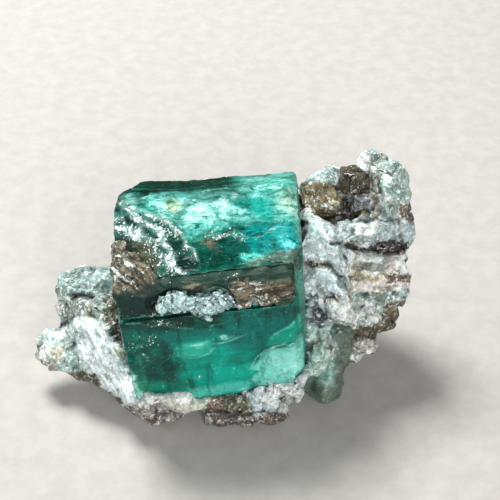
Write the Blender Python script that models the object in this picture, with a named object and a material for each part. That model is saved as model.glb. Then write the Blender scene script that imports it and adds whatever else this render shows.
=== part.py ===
"""A raw emerald: a hexagonal crystal held in a lump of feldspar, quartz and mica rock.

The crystal lies on its side, with its long axis near +X, and shows three of its six prism
faces. The rock wraps its lower side, its back and both its ends, and holds a second, pale
beryl crystal, two quartz crystals and two books of mica. A brown mica crust and a cluster of
white feldspar grains cling to the emerald itself.

Every piece is one object in metres, +Z up. The rock rests on z = 0, and the origin is under
the middle of the whole specimen.
"""

import math
import random

import bmesh
import bpy
from mathutils import Euler, Matrix, Vector

# Driving dimensions, in millimetres and degrees
MM = 0.001
GAP = 0.3
LONGEST = 200.0

# The emerald: its middle, the lie of its long axis, and its cross-section.
# A face is (the way it faces, in degrees above the horizon at the front; its width).
EMERALD_MIDDLE = (-3.2, -6.2, 14.2)
EMERALD_TURN = 4.0
EMERALD_RISE = 5.0
EMERALD_FRONT_FOOT = (-9.6, -9.3)
FRONT_FACE = (3.0, 13.4)
MICA_BEVEL = (33.0, 4.2)
TOP_FACE = (62.0, 9.95)
UPPER_BACK_FACE = (120.0, 8.8)
BACK_FACE = (184.0, 12.6)
UNDER_FRONT_FACE_WAY = 302.0
UNDER_BACK_FACE_WAY = 244.0
EMERALD_LEFT_END = -8.95
EMERALD_RIGHT_END = 12.0
EMERALD_UNDERSIDE = -11.9

# How far the right end leans out with each millimetre back and up, and the wear on edges.
END_SLANT_Y = 0.045
END_SLANT_Z = 0.03
END_BEVEL = 1.4
EDGE_WEAR = 0.25
SMALL_WEAR = 0.14

# The sunk places that the mica fills, in the emerald's own frame: one long groove down the
# bevel, and one broken-out pocket at the left end. (middle; half sizes; the way it faces;
# how far it is turned on the face)
MICA_GROOVE = ((0.6, -7.75, 5.85), (10.1, 2.25, 1.1), 33, 0)
MICA_POCKET = ((-9.0, -6.0, 7.9), (3.7, 6.0, 0.9), 62, 39)

# Chips out of the emerald's edges, in its own frame: middle, radius.
EMERALD_CHIPS = (
    ((-8.9, 0.6, 11.3), 1.1),
    ((-5.2, 2.3, 12.5), 0.8),
    ((1.6, 10.2, 7.6), 1.3),
    ((-3.4, 10.4, 7.4), 1.0),
    ((7.6, 2.4, 12.4), 0.7),
    ((-9.6, -9.2, -1.6), 1.2),
    ((-9.5, -9.4, -5.0), 0.9),
    ((11.6, -9.4, -7.4), 1.2),
    ((12.6, -3.6, 8.9), 0.8),
)

# The rock's surface: the size of the cells it is fused from, and how rough it is left.
ROCK_CELL = 0.42
ROCK_TRIANGLES = 5500
LEDGE_SIZE = 3.4
LEDGE_DEPTH = 1.1
GRAIN_SIZE = 0.8
GRAIN_DEPTH = 0.3
CRUST_CELL = 0.24
CRUST_TRIANGLES = 620
GRAINS_TRIANGLES = 420

# Lumps of rock: name, middle (x, y, z), radii, turn about Z.
ROCK_LUMPS = (
    ("right_top_strip", (11.6, 3.5, 21.6), (3.5, 2.6, 2.1), 10),
    ("right_peak", (17.3, 4.4, 23.0), (2.5, 2.4, 2.2), 30),
    ("right_shoulder", (18.6, 2.8, 21.4), (3.1, 3.6, 4.0), -20),
    ("right_outer_top", (20.0, 1.4, 20.4), (2.0, 2.8, 2.8), 0),
    ("right_upper_ledge", (17.2, 1.0, 19.6), (4.4, 3.2, 2.5), 5),
    ("right_white_block", (17.0, -1.0, 17.2), (3.7, 3.0, 2.2), 4),
    ("right_outer_block", (20.6, 0.2, 17.6), (2.2, 3.0, 3.8), 0),
    ("right_rose_quartz", (17.2, -4.0, 14.2), (5.0, 3.6, 3.3), 0),
    ("right_rose_upper", (19.6, -2.6, 15.2), (2.3, 2.6, 1.8), 0),
    ("right_rose_knob", (19.8, -4.3, 13.0), (2.4, 3.0, 3.0), 15),
    ("grey_cleavage_upper", (11.4, -4.6, 17.8), (3.2, 4.4, 4.4), 0),
    ("grey_cleavage_lower", (11.5, -8.8, 14.6), (3.1, 4.4, 3.8), 20),
    ("right_crumb_block", (19.4, -6.1, 11.8), (2.6, 2.6, 1.7), -10),
    ("right_white_lumps", (15.4, -6.6, 9.4), (4.3, 3.6, 3.2), 10),
    ("right_brown_side", (18.8, -5.8, 9.4), (2.8, 3.2, 2.6), 0),
    ("right_under_ledge", (15.4, -6.8, 6.2), (3.4, 3.6, 2.2), 0),
    ("right_under_knob", (15.0, -8.4, 4.6), (2.0, 2.0, 1.5), 25),
    ("rubble_column", (10.8, -12.0, 9.8), (2.0, 3.4, 5.0), 0),
    ("right_heart", (15.0, 1.6, 18.6), (5.6, 5.4, 5.6), 0),
    ("right_body", (15.2, -0.6, 12.6), (6.4, 6.8, 6.4), 0),
    ("right_root", (12.6, -2.2, 5.6), (4.8, 7.2, 5.6), 0),
    ("left_top_block", (-17.0, -2.4, 10.2), (4.4, 3.8, 2.3), -6),
    ("left_small_knob", (-20.0, -2.2, 8.6), (1.6, 2.0, 1.3), 0),
    ("left_grey_dome", (-19.0, -4.2, 7.4), (2.6, 3.0, 2.5), 10),
    ("left_white_upper", (-16.2, -6.8, 7.8), (3.6, 3.8, 3.9), 0),
    ("left_white_middle", (-14.0, -10.8, 5.5), (3.5, 3.6, 3.7), 20),
    ("left_white_foot", (-12.0, -13.2, 3.9), (2.4, 2.4, 2.9), 30),
    ("left_tip_upper", (-21.2, -7.4, 5.9), (2.3, 2.4, 1.6), 0),
    ("left_tip_lower", (-20.6, -8.6, 4.7), (3.0, 2.6, 1.9), -10),
    ("left_under", (-16.6, -9.4, 3.6), (4.0, 3.6, 2.1), 20),
    ("left_olive_rubble", (-13.6, -6.2, 8.0), (2.2, 3.2, 4.0), 0),
    ("left_body", (-14.8, -2.6, 6.4), (5.0, 6.2, 5.2), 0),
    ("front_white_lip", (-5.6, -15.3, 4.6), (6.0, 2.3, 1.8), 3),
    ("front_left_foot", (-8.8, -14.2, 2.0), (3.3, 2.8, 2.6), 0),
    ("front_tan_lump", (-0.4, -14.8, 3.4), (3.1, 2.5, 2.6), 0),
    ("front_grey_lump", (4.0, -14.4, 4.2), (4.1, 2.8, 3.6), 0),
    ("front_grey_corner", (7.4, -14.2, 5.2), (2.9, 2.4, 3.4), 0),
    ("front_right_foot", (4.0, -14.4, 1.3), (3.6, 2.8, 1.9), 0),
    ("floor_left", (-9.0, -7.0, 2.2), (7.0, 7.0, 3.4), 0),
    ("floor_right", (4.0, -6.0, 2.6), (8.0, 8.4, 3.2), 0),
    ("back_left", (-10.4, 2.4, 6.4), (6.0, 5.0, 5.8), 15),
    ("back_middle", (-2.6, 5.2, 6.6), (6.2, 5.0, 6.6), -10),
    ("back_right", (6.0, 6.0, 9.0), (6.2, 4.8, 8.4), 5),
    ("back_right_upper", (11.2, 5.4, 15.4), (4.4, 4.0, 6.6), 0),
    ("back_foot", (1.0, 6.8, 1.8), (7.2, 3.6, 3.0), 8),
)

# How many flat breaks each lump has, and how much larger than its radii it starts.
LUMP_CUTS = 15
LUMP_GROWTH = 1.05

# Lumps of the mica crust on the emerald, in the emerald's own frame: middle; half sizes
# along the axis and across the face, and thickness; the way the face looks.
CRUST_LUMPS = (
    ((9.4, -7.3, 5.6), (1.9, 2.3, 1.1), 33),
    ((7.0, -7.2, 5.8), (2.2, 2.4, 1.2), 33),
    ((4.4, -7.3, 5.7), (2.2, 2.4, 1.1), 33),
    ((1.9, -7.2, 5.8), (2.0, 2.3, 1.1), 33),
    ((-0.6, -7.1, 6.0), (2.2, 2.1, 1.1), 33),
    ((-3.0, -7.1, 6.0), (2.2, 2.1, 1.1), 33),
    ((-5.4, -7.1, 6.0), (2.2, 2.3, 1.2), 36),
    ((-7.2, -7.0, 6.2), (2.0, 2.4, 1.3), 42),
    ((-8.0, -6.5, 7.0), (1.3, 2.4, 1.2), 50),
    ((-5.0, -5.9, 7.5), (1.7, 1.5, 1.1), 62),
    ((-6.6, -5.3, 7.8), (1.9, 1.8, 1.1), 62),
    ((-7.8, -4.9, 8.0), (1.6, 2.2, 1.1), 62),
    ((-6.9, -4.1, 8.4), (1.5, 1.6, 1.0), 62),
    ((-7.8, -2.9, 9.0), (1.3, 2.0, 1.0), 62),
)

# White feldspar grains on the emerald, written the same way.
FELDSPAR_GRAINS = (
    ((2.2, -8.4, 5.3), (1.7, 1.4, 1.2), 24),
    ((0.6, -8.6, 4.9), (1.8, 1.6, 1.4), 20),
    ((-1.2, -8.3, 5.5), (1.1, 1.1, 1.1), 24),
    ((-2.6, -8.2, 5.7), (1.3, 1.2, 1.1), 24),
    ((-4.2, -8.3, 5.6), (1.3, 0.9, 0.9), 24),
)

# Small crystals and mica books set in the rock: name, middle, half sizes, turn (x, y, z).
SET_CRYSTALS = (
    ("smoky_quartz_crystal", (14.85, 1.8, 23.4), (1.6, 1.4, 1.3), (-18, 6, 12)),
    ("clear_quartz_crystal", (17.55, 2.35, 23.1), (0.7, 1.2, 1.3), (-18, 6, 12)),
    ("bronze_mica_book", (11.1, 0.6, 21.0), (2.2, 1.7, 1.7), (24, -14, 8)),
    ("dark_mica_book", (15.6, -0.6, 21.8), (1.1, 0.6, 1.1), (10, 12, 24)),
)

# The pale beryl: the ends of its long axis, its radius and its count of sides.
BERYL_FOOT = (11.4, -10.6, 0.8)
BERYL_HEAD = (13.0, -7.6, 9.0)
BERYL_RADIUS = 2.8
BERYL_SIDES = 6

# Where nothing stands in front of the emerald: its bounds in the emerald's own frame.
VIEW_LEFT = -9.5
VIEW_RIGHT = 12.2
VIEW_LIP = -7.0
VIEW_BACK = 7.0

# The hollow below the smoky quartz, and the cleft under the white block: middle, radii.
CAVITY = ((13.4, 0.0, 21.4), (2.5, 2.6, 2.1))
CREVICE = ((16.8, -4.0, 16.2), (4.8, 2.4, 0.55))

# Each piece's colour (red, green, blue) and roughness.
FINISHES = {
    "emerald_crystal": (0.01, 0.30, 0.20, 0.12),
    "small_beryl_crystal": (0.30, 0.50, 0.42, 0.25),
    "matrix_rock": (0.62, 0.63, 0.60, 0.85),
    "mica_crust": (0.16, 0.12, 0.08, 0.55),
    "feldspar_grains": (0.85, 0.88, 0.88, 0.8),
    "smoky_quartz_crystal": (0.15, 0.11, 0.07, 0.15),
    "clear_quartz_crystal": (0.55, 0.54, 0.46, 0.15),
    "bronze_mica_book": (0.24, 0.17, 0.09, 0.4),
    "dark_mica_book": (0.04, 0.035, 0.05, 0.35),
}


def clear_scene():
    """Removes the objects that the scene starts with."""
    for obj in list(bpy.data.objects):
        bpy.data.objects.remove(obj)


def new_object(name, bm):
    """An object in the scene that holds a bmesh made in millimetres."""
    bmesh.ops.scale(bm, vec=(MM, MM, MM), verts=bm.verts)
    bmesh.ops.recalc_face_normals(bm, faces=bm.faces)
    mesh = bpy.data.meshes.new(name)
    bm.to_mesh(mesh)
    bm.free()
    obj = bpy.data.objects.new(name, mesh)
    bpy.context.scene.collection.objects.link(obj)
    return obj


def slice_off(bm, point, normal):
    """Cuts away what lies past a plane, and closes the cut."""
    cut = bmesh.ops.bisect_plane(
        bm,
        geom=bm.verts[:] + bm.edges[:] + bm.faces[:],
        plane_co=point,
        plane_no=normal,
        clear_outer=True,
    )
    edges = [part for part in cut["geom_cut"] if isinstance(part, bmesh.types.BMEdge)]
    if edges:
        bmesh.ops.edgeloop_fill(bm, edges=edges)


def block_of_planes(planes, grow=0.0):
    """A convex solid between planes, each (point, outward normal), moved out by grow."""
    bm = bmesh.new()
    bmesh.ops.create_cube(bm, size=LONGEST)
    for point, normal in planes:
        outward = Vector(normal).normalized()
        slice_off(bm, Vector(point) + grow * outward, outward)
    return bm


def emerald_frame():
    """Takes the emerald's own frame, with its long axis along X, to the specimen's."""
    turn = Matrix.Rotation(math.radians(EMERALD_TURN), 4, "Z")
    rise = Matrix.Rotation(math.radians(-EMERALD_RISE), 4, "Y")
    return Matrix.Translation(EMERALD_MIDDLE) @ turn @ rise


def facing(degrees):
    """The way a side face looks in the emerald's own frame: 0 is the front, 90 is up."""
    angle = math.radians(degrees)
    return Vector((0.0, -math.cos(angle), math.sin(angle)))


def face_corners():
    """The corners of the emerald's cross-section that its visible faces run between."""
    corners = [Vector((0.0, *EMERALD_FRONT_FOOT))]
    for way, width in (FRONT_FACE, MICA_BEVEL, TOP_FACE, UPPER_BACK_FACE, BACK_FACE):
        angle = math.radians(way)
        step = Vector((0.0, math.sin(angle), math.cos(angle)))
        corners.append(corners[-1] + width * step)
    return corners


def emerald_planes():
    """The emerald's side faces and ends as (point, outward normal), in its own frame."""
    foot, front_top, bevel_top, ridge, shoulder, heel = face_corners()
    return [
        (foot, facing(FRONT_FACE[0])),
        (bevel_top, facing(MICA_BEVEL[0])),
        (bevel_top, facing(TOP_FACE[0])),
        (ridge, facing(UPPER_BACK_FACE[0])),
        (shoulder, facing(BACK_FACE[0])),
        (heel, facing(UNDER_BACK_FACE_WAY)),
        (foot, facing(UNDER_FRONT_FACE_WAY)),
        ((0.0, 0.0, EMERALD_UNDERSIDE), (0.0, 0.0, -1.0)),
        ((EMERALD_RIGHT_END, 0.0, 0.0), (1.0, -END_SLANT_Y, -END_SLANT_Z)),
        ((EMERALD_LEFT_END, -8.0, 0.0), (-1.0, 0.05, 0.0)),
        ((EMERALD_LEFT_END + 1.2, ridge.y, ridge.z), (-0.75, 0.34, 0.24)),
        ((EMERALD_LEFT_END + 0.5, -7.0, 7.6), (-0.86, -0.2, 0.5)),
    ] + end_bevels(foot, bevel_top, ridge)


def end_bevels(*corners):
    """The slopes between the emerald's right end and its visible faces."""
    planes = []
    for corner, (way, _) in zip(corners, (FRONT_FACE, MICA_BEVEL, TOP_FACE)):
        end = EMERALD_RIGHT_END + END_SLANT_Y * corner.y + END_SLANT_Z * corner.z
        point = Vector((end - END_BEVEL, corner.y, corner.z))
        planes.append((point, facing(way) + Vector((1.1, 0.0, 0.0))))
    return planes


def emerald_block(grow=0.0):
    """The emerald's plain faceted form, larger by grow all round."""
    bm = block_of_planes(emerald_planes(), grow)
    bmesh.ops.transform(bm, matrix=emerald_frame(), verts=bm.verts)
    return bm


def sunk_place(spec, shrink=0.0):
    """The box of a groove or pocket in the emerald, smaller by shrink all round."""
    middle, half, way, turn = spec
    bm = bmesh.new()
    bmesh.ops.create_cube(bm, size=2.0)
    bmesh.ops.scale(bm, vec=[side - shrink for side in half], verts=bm.verts)
    spin = Matrix.Rotation(math.radians(turn), 4, "Z")
    tilt = Matrix.Rotation(math.radians(90 - way), 4, "X")
    place = emerald_frame() @ Matrix.Translation(middle) @ tilt @ spin
    bmesh.ops.transform(bm, matrix=place, verts=bm.verts)
    return bm


def chips():
    """The bites out of the emerald's edges."""
    bm = bmesh.new()
    for count, (middle, radius) in enumerate(EMERALD_CHIPS):
        piece = faceted_lump((radius * 1.6, radius, radius), 6, random.Random(300 + count))
        bmesh.ops.transform(
            piece, matrix=emerald_frame() @ Matrix.Translation(middle), verts=piece.verts
        )
        add_to(bm, piece)
    return bm


def faceted_lump(radii, cuts, chance):
    """A rounded stone with flat broken faces, about the origin."""
    bm = bmesh.new()
    bmesh.ops.create_icosphere(bm, subdivisions=2, radius=1.0)
    for _ in range(cuts):
        way = Vector([chance.gauss(0.0, 1.0) for _ in range(3)]).normalized()
        slice_off(bm, way * chance.uniform(0.66, 0.92), way)
    bmesh.ops.scale(bm, vec=radii, verts=bm.verts)
    return bm


def add_to(bm, piece):
    """Puts a copy of one bmesh into another."""
    mesh = bpy.data.meshes.new("scratch")
    piece.to_mesh(mesh)
    piece.free()
    bm.from_mesh(mesh)
    bpy.data.meshes.remove(mesh)


def rock_lumps():
    """All of the rock's lumps as overlapping closed shells."""
    bm = bmesh.new()
    for name, middle, radii, turn in ROCK_LUMPS:
        radii = [LUMP_GROWTH * radius for radius in radii]
        piece = faceted_lump(radii, LUMP_CUTS, random.Random(name))
        place = Matrix.Translation(middle) @ Matrix.Rotation(math.radians(turn), 4, "Z")
        bmesh.ops.transform(piece, matrix=place, verts=piece.verts)
        add_to(bm, piece)
    return bm


def lumps_on_emerald(lumps, grow, first_seed):
    """Flat lumps that lie on the emerald's faces, larger by grow, as closed shells."""
    bm = bmesh.new()
    for count, (middle, (along, across, thick), way) in enumerate(lumps):
        radii = (along + grow, thick + grow, across + grow)
        piece = faceted_lump(radii, 5, random.Random(first_seed + count))
        tilt = Matrix.Rotation(math.radians(-way), 4, "X")
        place = emerald_frame() @ Matrix.Translation(middle) @ tilt
        bmesh.ops.transform(piece, matrix=place, verts=piece.verts)
        add_to(bm, piece)
    return bm


def ellipsoid(middle, radii):
    """A round hollow's shape."""
    bm = bmesh.new()
    bmesh.ops.create_icosphere(bm, subdivisions=2, radius=1.0)
    bmesh.ops.scale(bm, vec=radii, verts=bm.verts)
    bmesh.ops.translate(bm, vec=middle, verts=bm.verts)
    return bm


def set_block(middle, half, turn, grow=0.0):
    """A small broken crystal as a block with its corners cut, larger by grow."""
    x, y, z = half
    planes = [
        ((x, 0, 0), (1, 0, 0.06)),
        ((-x, 0, 0), (-1, 0.08, 0)),
        ((0, y, 0), (0, 1, 0)),
        ((0, -y, 0), (0.1, -1, 0.05)),
        ((0, 0, z), (0, -0.12, 1)),
        ((0, 0, -z), (0, 0, -1)),
        ((x * 0.72, 0, z * 0.8), (0.7, 0.1, 0.7)),
        ((-x * 0.8, -y * 0.75, 0), (-0.7, -0.7, 0.1)),
    ]
    bm = block_of_planes(planes, grow)
    angles = Euler([math.radians(angle) for angle in turn])
    place = Matrix.Translation(middle) @ angles.to_matrix().to_4x4()
    bmesh.ops.transform(bm, matrix=place, verts=bm.verts)
    return bm


def beryl_block(grow=0.0):
    """The pale beryl: a six-sided crystal that stands in the rock's right foot."""
    foot, head = Vector(BERYL_FOOT), Vector(BERYL_HEAD)
    axis = head - foot
    planes = [((0, 0, axis.length), (0.15, -0.35, 1)), ((0, 0, 0), (0, -0.1, -1))]
    for side in range(BERYL_SIDES):
        angle = math.tau * side / BERYL_SIDES + 0.3
        way = Vector((math.cos(angle), math.sin(angle), 0.05))
        width = BERYL_RADIUS * (1.0 + 0.12 * math.cos(3 * angle))
        planes.append((way * width, way))
    bm = block_of_planes(planes, grow)
    place = Matrix.Translation(foot) @ axis.to_track_quat("Z", "Y").to_matrix().to_4x4()
    bmesh.ops.transform(bm, matrix=place, verts=bm.verts)
    slice_off(bm, (0.0, 0.0, GAP - grow), (0.0, 0.0, -1.0))
    return bm


def open_view():
    """The space in front of and above the emerald, where no rock stands."""
    planes = [
        ((VIEW_LEFT, 0, 0), (-1, 0, -0.05)),
        ((VIEW_RIGHT, 0, 0), (1, -END_SLANT_Y, -END_SLANT_Z)),
        ((0, VIEW_BACK, 0), (0, 1, 0)),
        ((0, 0, VIEW_LIP), (0, 0, -1)),
    ]
    bm = block_of_planes(planes)
    bmesh.ops.transform(bm, matrix=emerald_frame(), verts=bm.verts)
    return bm


def under_floor():
    """Everything below the surface that the specimen rests on."""
    return block_of_planes([((0, 0, 0), (0, 0, 1))])


def fuse(obj, cell):
    """Joins overlapping shells into one skin of small cells."""
    remesh = obj.modifiers.new("Fuse", "REMESH")
    remesh.mode = "VOXEL"
    remesh.voxel_size = cell * MM


def roughen(obj, kind, size, depth):
    """Moves the skin in and out by a pattern of this size and depth."""
    texture = bpy.data.textures.new(obj.name + "_" + kind.lower(), kind)
    texture.noise_scale = size * MM
    push = obj.modifiers.new(kind.title(), "DISPLACE")
    push.texture = texture
    push.texture_coords = "GLOBAL"
    push.mid_level = 0.5
    push.strength = depth * MM
    return texture


def thin_out(obj, triangles):
    """Lowers the count of triangles of an object's settled mesh to about this many."""
    now = sum(len(face.vertices) - 2 for face in obj.data.polygons)
    if now > triangles:
        collapse = obj.modifiers.new("Thin_out", "DECIMATE")
        collapse.ratio = triangles / now
        collapse.use_collapse_triangulate = True
        settle(obj)


def subtract(obj, bm, name):
    """Cuts a solid made of planes or shells out of an object."""
    subtract_object(obj, new_object(name, bm))


def subtract_object(obj, cutter):
    """Cuts one object out of another, and clears the cutter away."""
    cutter.hide_render = True
    cutter.display_type = "WIRE"
    cut = obj.modifiers.new(cutter.name, "BOOLEAN")
    cut.operation = "DIFFERENCE"
    cut.solver = "EXACT"
    cut.object = cutter
    settle(obj)
    bpy.data.objects.remove(cutter)


def settle(obj):
    """Replaces an object's mesh with what its modifiers make of it."""
    graph = bpy.context.evaluated_depsgraph_get()
    made = bpy.data.meshes.new_from_object(obj.evaluated_get(graph))
    obj.modifiers.clear()
    obj.data = made


def wear_edges(obj, width):
    """Rounds an object's sharp edges a little."""
    wear = obj.modifiers.new("Edge_wear", "BEVEL")
    wear.width = width * MM
    wear.segments = 1
    wear.limit_method = "ANGLE"
    wear.angle_limit = math.radians(20)
    settle(obj)


def keep_largest_island(obj):
    """Drops crumbs that a cut has left loose."""
    bm = bmesh.new()
    bm.from_mesh(obj.data)
    islands, seen = [], set()
    for start in bm.verts:
        if start in seen:
            continue
        island, queue = [], [start]
        seen.add(start)
        while queue:
            vert = queue.pop()
            island.append(vert)
            for edge in vert.link_edges:
                other = edge.other_vert(vert)
                if other not in seen:
                    seen.add(other)
                    queue.append(other)
        islands.append(island)
    islands.sort(key=len)
    loose = [vert for island in islands[:-1] for vert in island]
    bmesh.ops.delete(bm, geom=loose, context="VERTS")
    bm.to_mesh(obj.data)
    bm.free()


def paint(obj):
    """Gives a piece its own plain material."""
    red, green, blue, roughness = FINISHES[obj.name]
    material = bpy.data.materials.new(obj.name)
    material.use_nodes = True
    shader = material.node_tree.nodes["Principled BSDF"]
    shader.inputs["Base Color"].default_value = (red, green, blue, 1.0)
    shader.inputs["Roughness"].default_value = roughness
    shader.inputs["Metallic"].default_value = 0.0
    obj.data.materials.clear()
    obj.data.materials.append(material)


def make_emerald():
    """The main crystal, with its long edges worn."""
    emerald = new_object("emerald_crystal", emerald_block())
    wear_edges(emerald, EDGE_WEAR)
    subtract(emerald, sunk_place(MICA_GROOVE), "mica_groove")
    subtract(emerald, sunk_place(MICA_POCKET), "mica_pocket")
    subtract(emerald, chips(), "chips")
    return emerald


def make_rock():
    """The rock that holds everything, with a socket for each crystal."""
    rock = new_object("matrix_rock", rock_lumps())
    fuse(rock, ROCK_CELL)
    ledges = roughen(rock, "VORONOI", LEDGE_SIZE, LEDGE_DEPTH)
    ledges.distance_metric = "CHEBYCHEV"
    ledges.weight_1 = -1.0
    ledges.weight_2 = 1.0
    rock.modifiers["Voronoi"].mid_level = 0.35
    roughen(rock, "CLOUDS", GRAIN_SIZE, GRAIN_DEPTH)
    settle(rock)
    thin_out(rock, ROCK_TRIANGLES)
    subtract(rock, under_floor(), "floor_cut")
    subtract(rock, open_view(), "view_cut")
    subtract(rock, ellipsoid(*CAVITY), "cavity")
    subtract(rock, ellipsoid(*CREVICE), "crevice")
    subtract(rock, emerald_block(GAP), "emerald_socket")
    subtract(rock, beryl_block(GAP), "beryl_socket")
    for name, middle, half, turn in SET_CRYSTALS:
        subtract(rock, set_block(middle, half, turn, GAP), name + "_socket")
    keep_largest_island(rock)
    return rock


def make_bed():
    """What the crust and the grains lie on: the emerald and its sunk places, with the gap."""
    bed = new_object("emerald_bed", emerald_block(GAP))
    subtract(bed, sunk_place(MICA_GROOVE, GAP), "groove_floor")
    subtract(bed, sunk_place(MICA_POCKET, GAP), "pocket_floor")
    return bed


def make_crust():
    """The brown mica skin on the emerald's bevel and left end."""
    crust = new_object("mica_crust", lumps_on_emerald(CRUST_LUMPS, 0.0, 100))
    fuse(crust, CRUST_CELL)
    roughen(crust, "CLOUDS", GRAIN_SIZE, GRAIN_DEPTH)
    settle(crust)
    thin_out(crust, CRUST_TRIANGLES)
    subtract_object(crust, make_bed())
    return crust


def make_feldspar_grains():
    """The white cluster that stands on the crust's lower edge."""
    grains = new_object("feldspar_grains", lumps_on_emerald(FELDSPAR_GRAINS, 0.0, 200))
    fuse(grains, CRUST_CELL)
    settle(grains)
    thin_out(grains, GRAINS_TRIANGLES)
    subtract_object(grains, make_bed())
    keep_largest_island(grains)
    return grains


def clear_room(obj, lumps, grow, first_seed, name):
    """Clears an object from around a row of lumps on the emerald."""
    grown = new_object(name, lumps_on_emerald(lumps, grow, first_seed))
    fuse(grown, CRUST_CELL * 1.5)
    settle(grown)
    subtract_object(obj, grown)
    keep_largest_island(obj)


def centre_on_base(objects):
    """Moves all the pieces so that the origin is under the middle of their box."""
    corners = [vert.co for obj in objects for vert in obj.data.vertices]
    shift = Vector(
        [
            -(min(co[axis] for co in corners) + max(co[axis] for co in corners)) / 2
            for axis in (0, 1)
        ]
        + [0.0]
    )
    for obj in objects:
        obj.data.transform(Matrix.Translation(shift))
    return shift


def main():
    """Builds every piece of the specimen."""
    clear_scene()
    emerald = make_emerald()
    rock = make_rock()
    crust = make_crust()
    grains = make_feldspar_grains()
    clear_room(crust, FELDSPAR_GRAINS, GAP + 0.1, 200, "room_for_grains")
    clear_room(rock, CRUST_LUMPS, GAP + GRAIN_DEPTH / 2, 100, "room_for_crust")
    small = [new_object("small_beryl_crystal", beryl_block())]
    small += [new_object(name, set_block(*block)) for name, *block in SET_CRYSTALS]
    for crystal in small:
        wear_edges(crystal, SMALL_WEAR)
        subtract(crystal, emerald_block(GAP), "emerald_side")
    pieces = [emerald, rock, crust, grains, *small]
    for piece in pieces:
        paint(piece)
    return centre_on_base(pieces)


SHIFT = main()
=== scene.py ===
"""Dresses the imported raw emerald: a six-sided crystal held in feldspar, quartz and mica rock.

Sizes are in millimetres, in the specimen's own frame, until a mesh is written. The emerald has
a frame of its own as well: its long axis is u, and each side face is measured as (u, up), with
up counted from the face's lower edge.
"""
import logging
import math
from collections.abc import Callable
from dataclasses import dataclass, field
from enum import Enum
from itertools import product

import bmesh
import bpy
import numpy as np
from bpy.types import Material, Mesh, Node, NodeSocket, NodeTree, Object
from mathutils import Matrix, Vector
from mathutils.bvhtree import BVHTree


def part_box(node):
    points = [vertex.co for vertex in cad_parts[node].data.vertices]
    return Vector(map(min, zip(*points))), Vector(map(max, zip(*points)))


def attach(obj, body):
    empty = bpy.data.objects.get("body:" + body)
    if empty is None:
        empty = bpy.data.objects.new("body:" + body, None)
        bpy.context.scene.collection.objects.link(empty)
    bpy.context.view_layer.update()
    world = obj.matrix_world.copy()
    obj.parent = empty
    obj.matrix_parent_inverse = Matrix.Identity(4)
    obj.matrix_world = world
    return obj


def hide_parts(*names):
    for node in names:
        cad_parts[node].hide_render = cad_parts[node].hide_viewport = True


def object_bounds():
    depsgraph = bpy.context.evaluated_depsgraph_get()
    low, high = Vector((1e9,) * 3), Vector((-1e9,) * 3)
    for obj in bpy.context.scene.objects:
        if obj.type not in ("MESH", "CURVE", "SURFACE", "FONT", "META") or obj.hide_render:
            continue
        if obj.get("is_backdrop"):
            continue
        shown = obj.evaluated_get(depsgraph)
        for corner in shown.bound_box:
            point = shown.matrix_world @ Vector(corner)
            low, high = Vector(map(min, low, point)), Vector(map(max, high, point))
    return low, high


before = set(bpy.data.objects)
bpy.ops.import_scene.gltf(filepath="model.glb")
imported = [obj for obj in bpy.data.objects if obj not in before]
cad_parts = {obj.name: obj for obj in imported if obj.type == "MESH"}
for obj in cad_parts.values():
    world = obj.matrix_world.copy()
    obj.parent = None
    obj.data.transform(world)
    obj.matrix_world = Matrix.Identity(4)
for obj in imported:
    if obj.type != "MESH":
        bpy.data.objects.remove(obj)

LOG = logging.getLogger("raw_emerald")
MM = 0.001
Array = np.ndarray
Spot = tuple[float, float]
Triple = tuple[float, float, float]

# The emerald's lowest corner in the specimen's own frame, which places that frame in the row's.
EMERALD_CORNER = (-12.6516, -16.3181, 1.8219)
QUARTZ_IOR = 1.53
BERYL_IOR = 1.58


def tone(code: str) -> Triple:
    """A screen colour, such as "0b9a74", as linear red, green and blue."""
    parts = [int(code[place:place + 2], 16) / 255 for place in (0, 2, 4)]
    return tuple(p / 12.92 if p <= 0.04045 else ((p + 0.055) / 1.055) ** 2.4 for p in parts)


def ease(low: float, high: float, value: Array) -> Array:
    """A soft step from 0 at low to 1 at high."""
    part = np.clip((value - low) / (high - low), 0.0, 1.0)
    return part * part * (3.0 - 2.0 * part)


def blend(values: Array, share: Array, target: object) -> Array:
    """Takes each number, or each row of numbers, a share of the way to a target."""
    return values + (share if values.ndim == 1 else share[:, None]) * (np.asarray(target) - values)


def away(points: Array, middle: Triple, radii: Triple) -> Array:
    """How far points are from a middle, counted in radii."""
    return np.linalg.norm((points - middle) / radii, axis=1)


# ---- noise


@dataclass
class Cells:
    """What each point finds in a field of scattered seeds."""

    near: Array
    second: Array
    middle: Array
    draw: Array

    @property
    def edge(self) -> Array:
        """How far each point is inside its cell's edge."""
        return self.second - self.near


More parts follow.
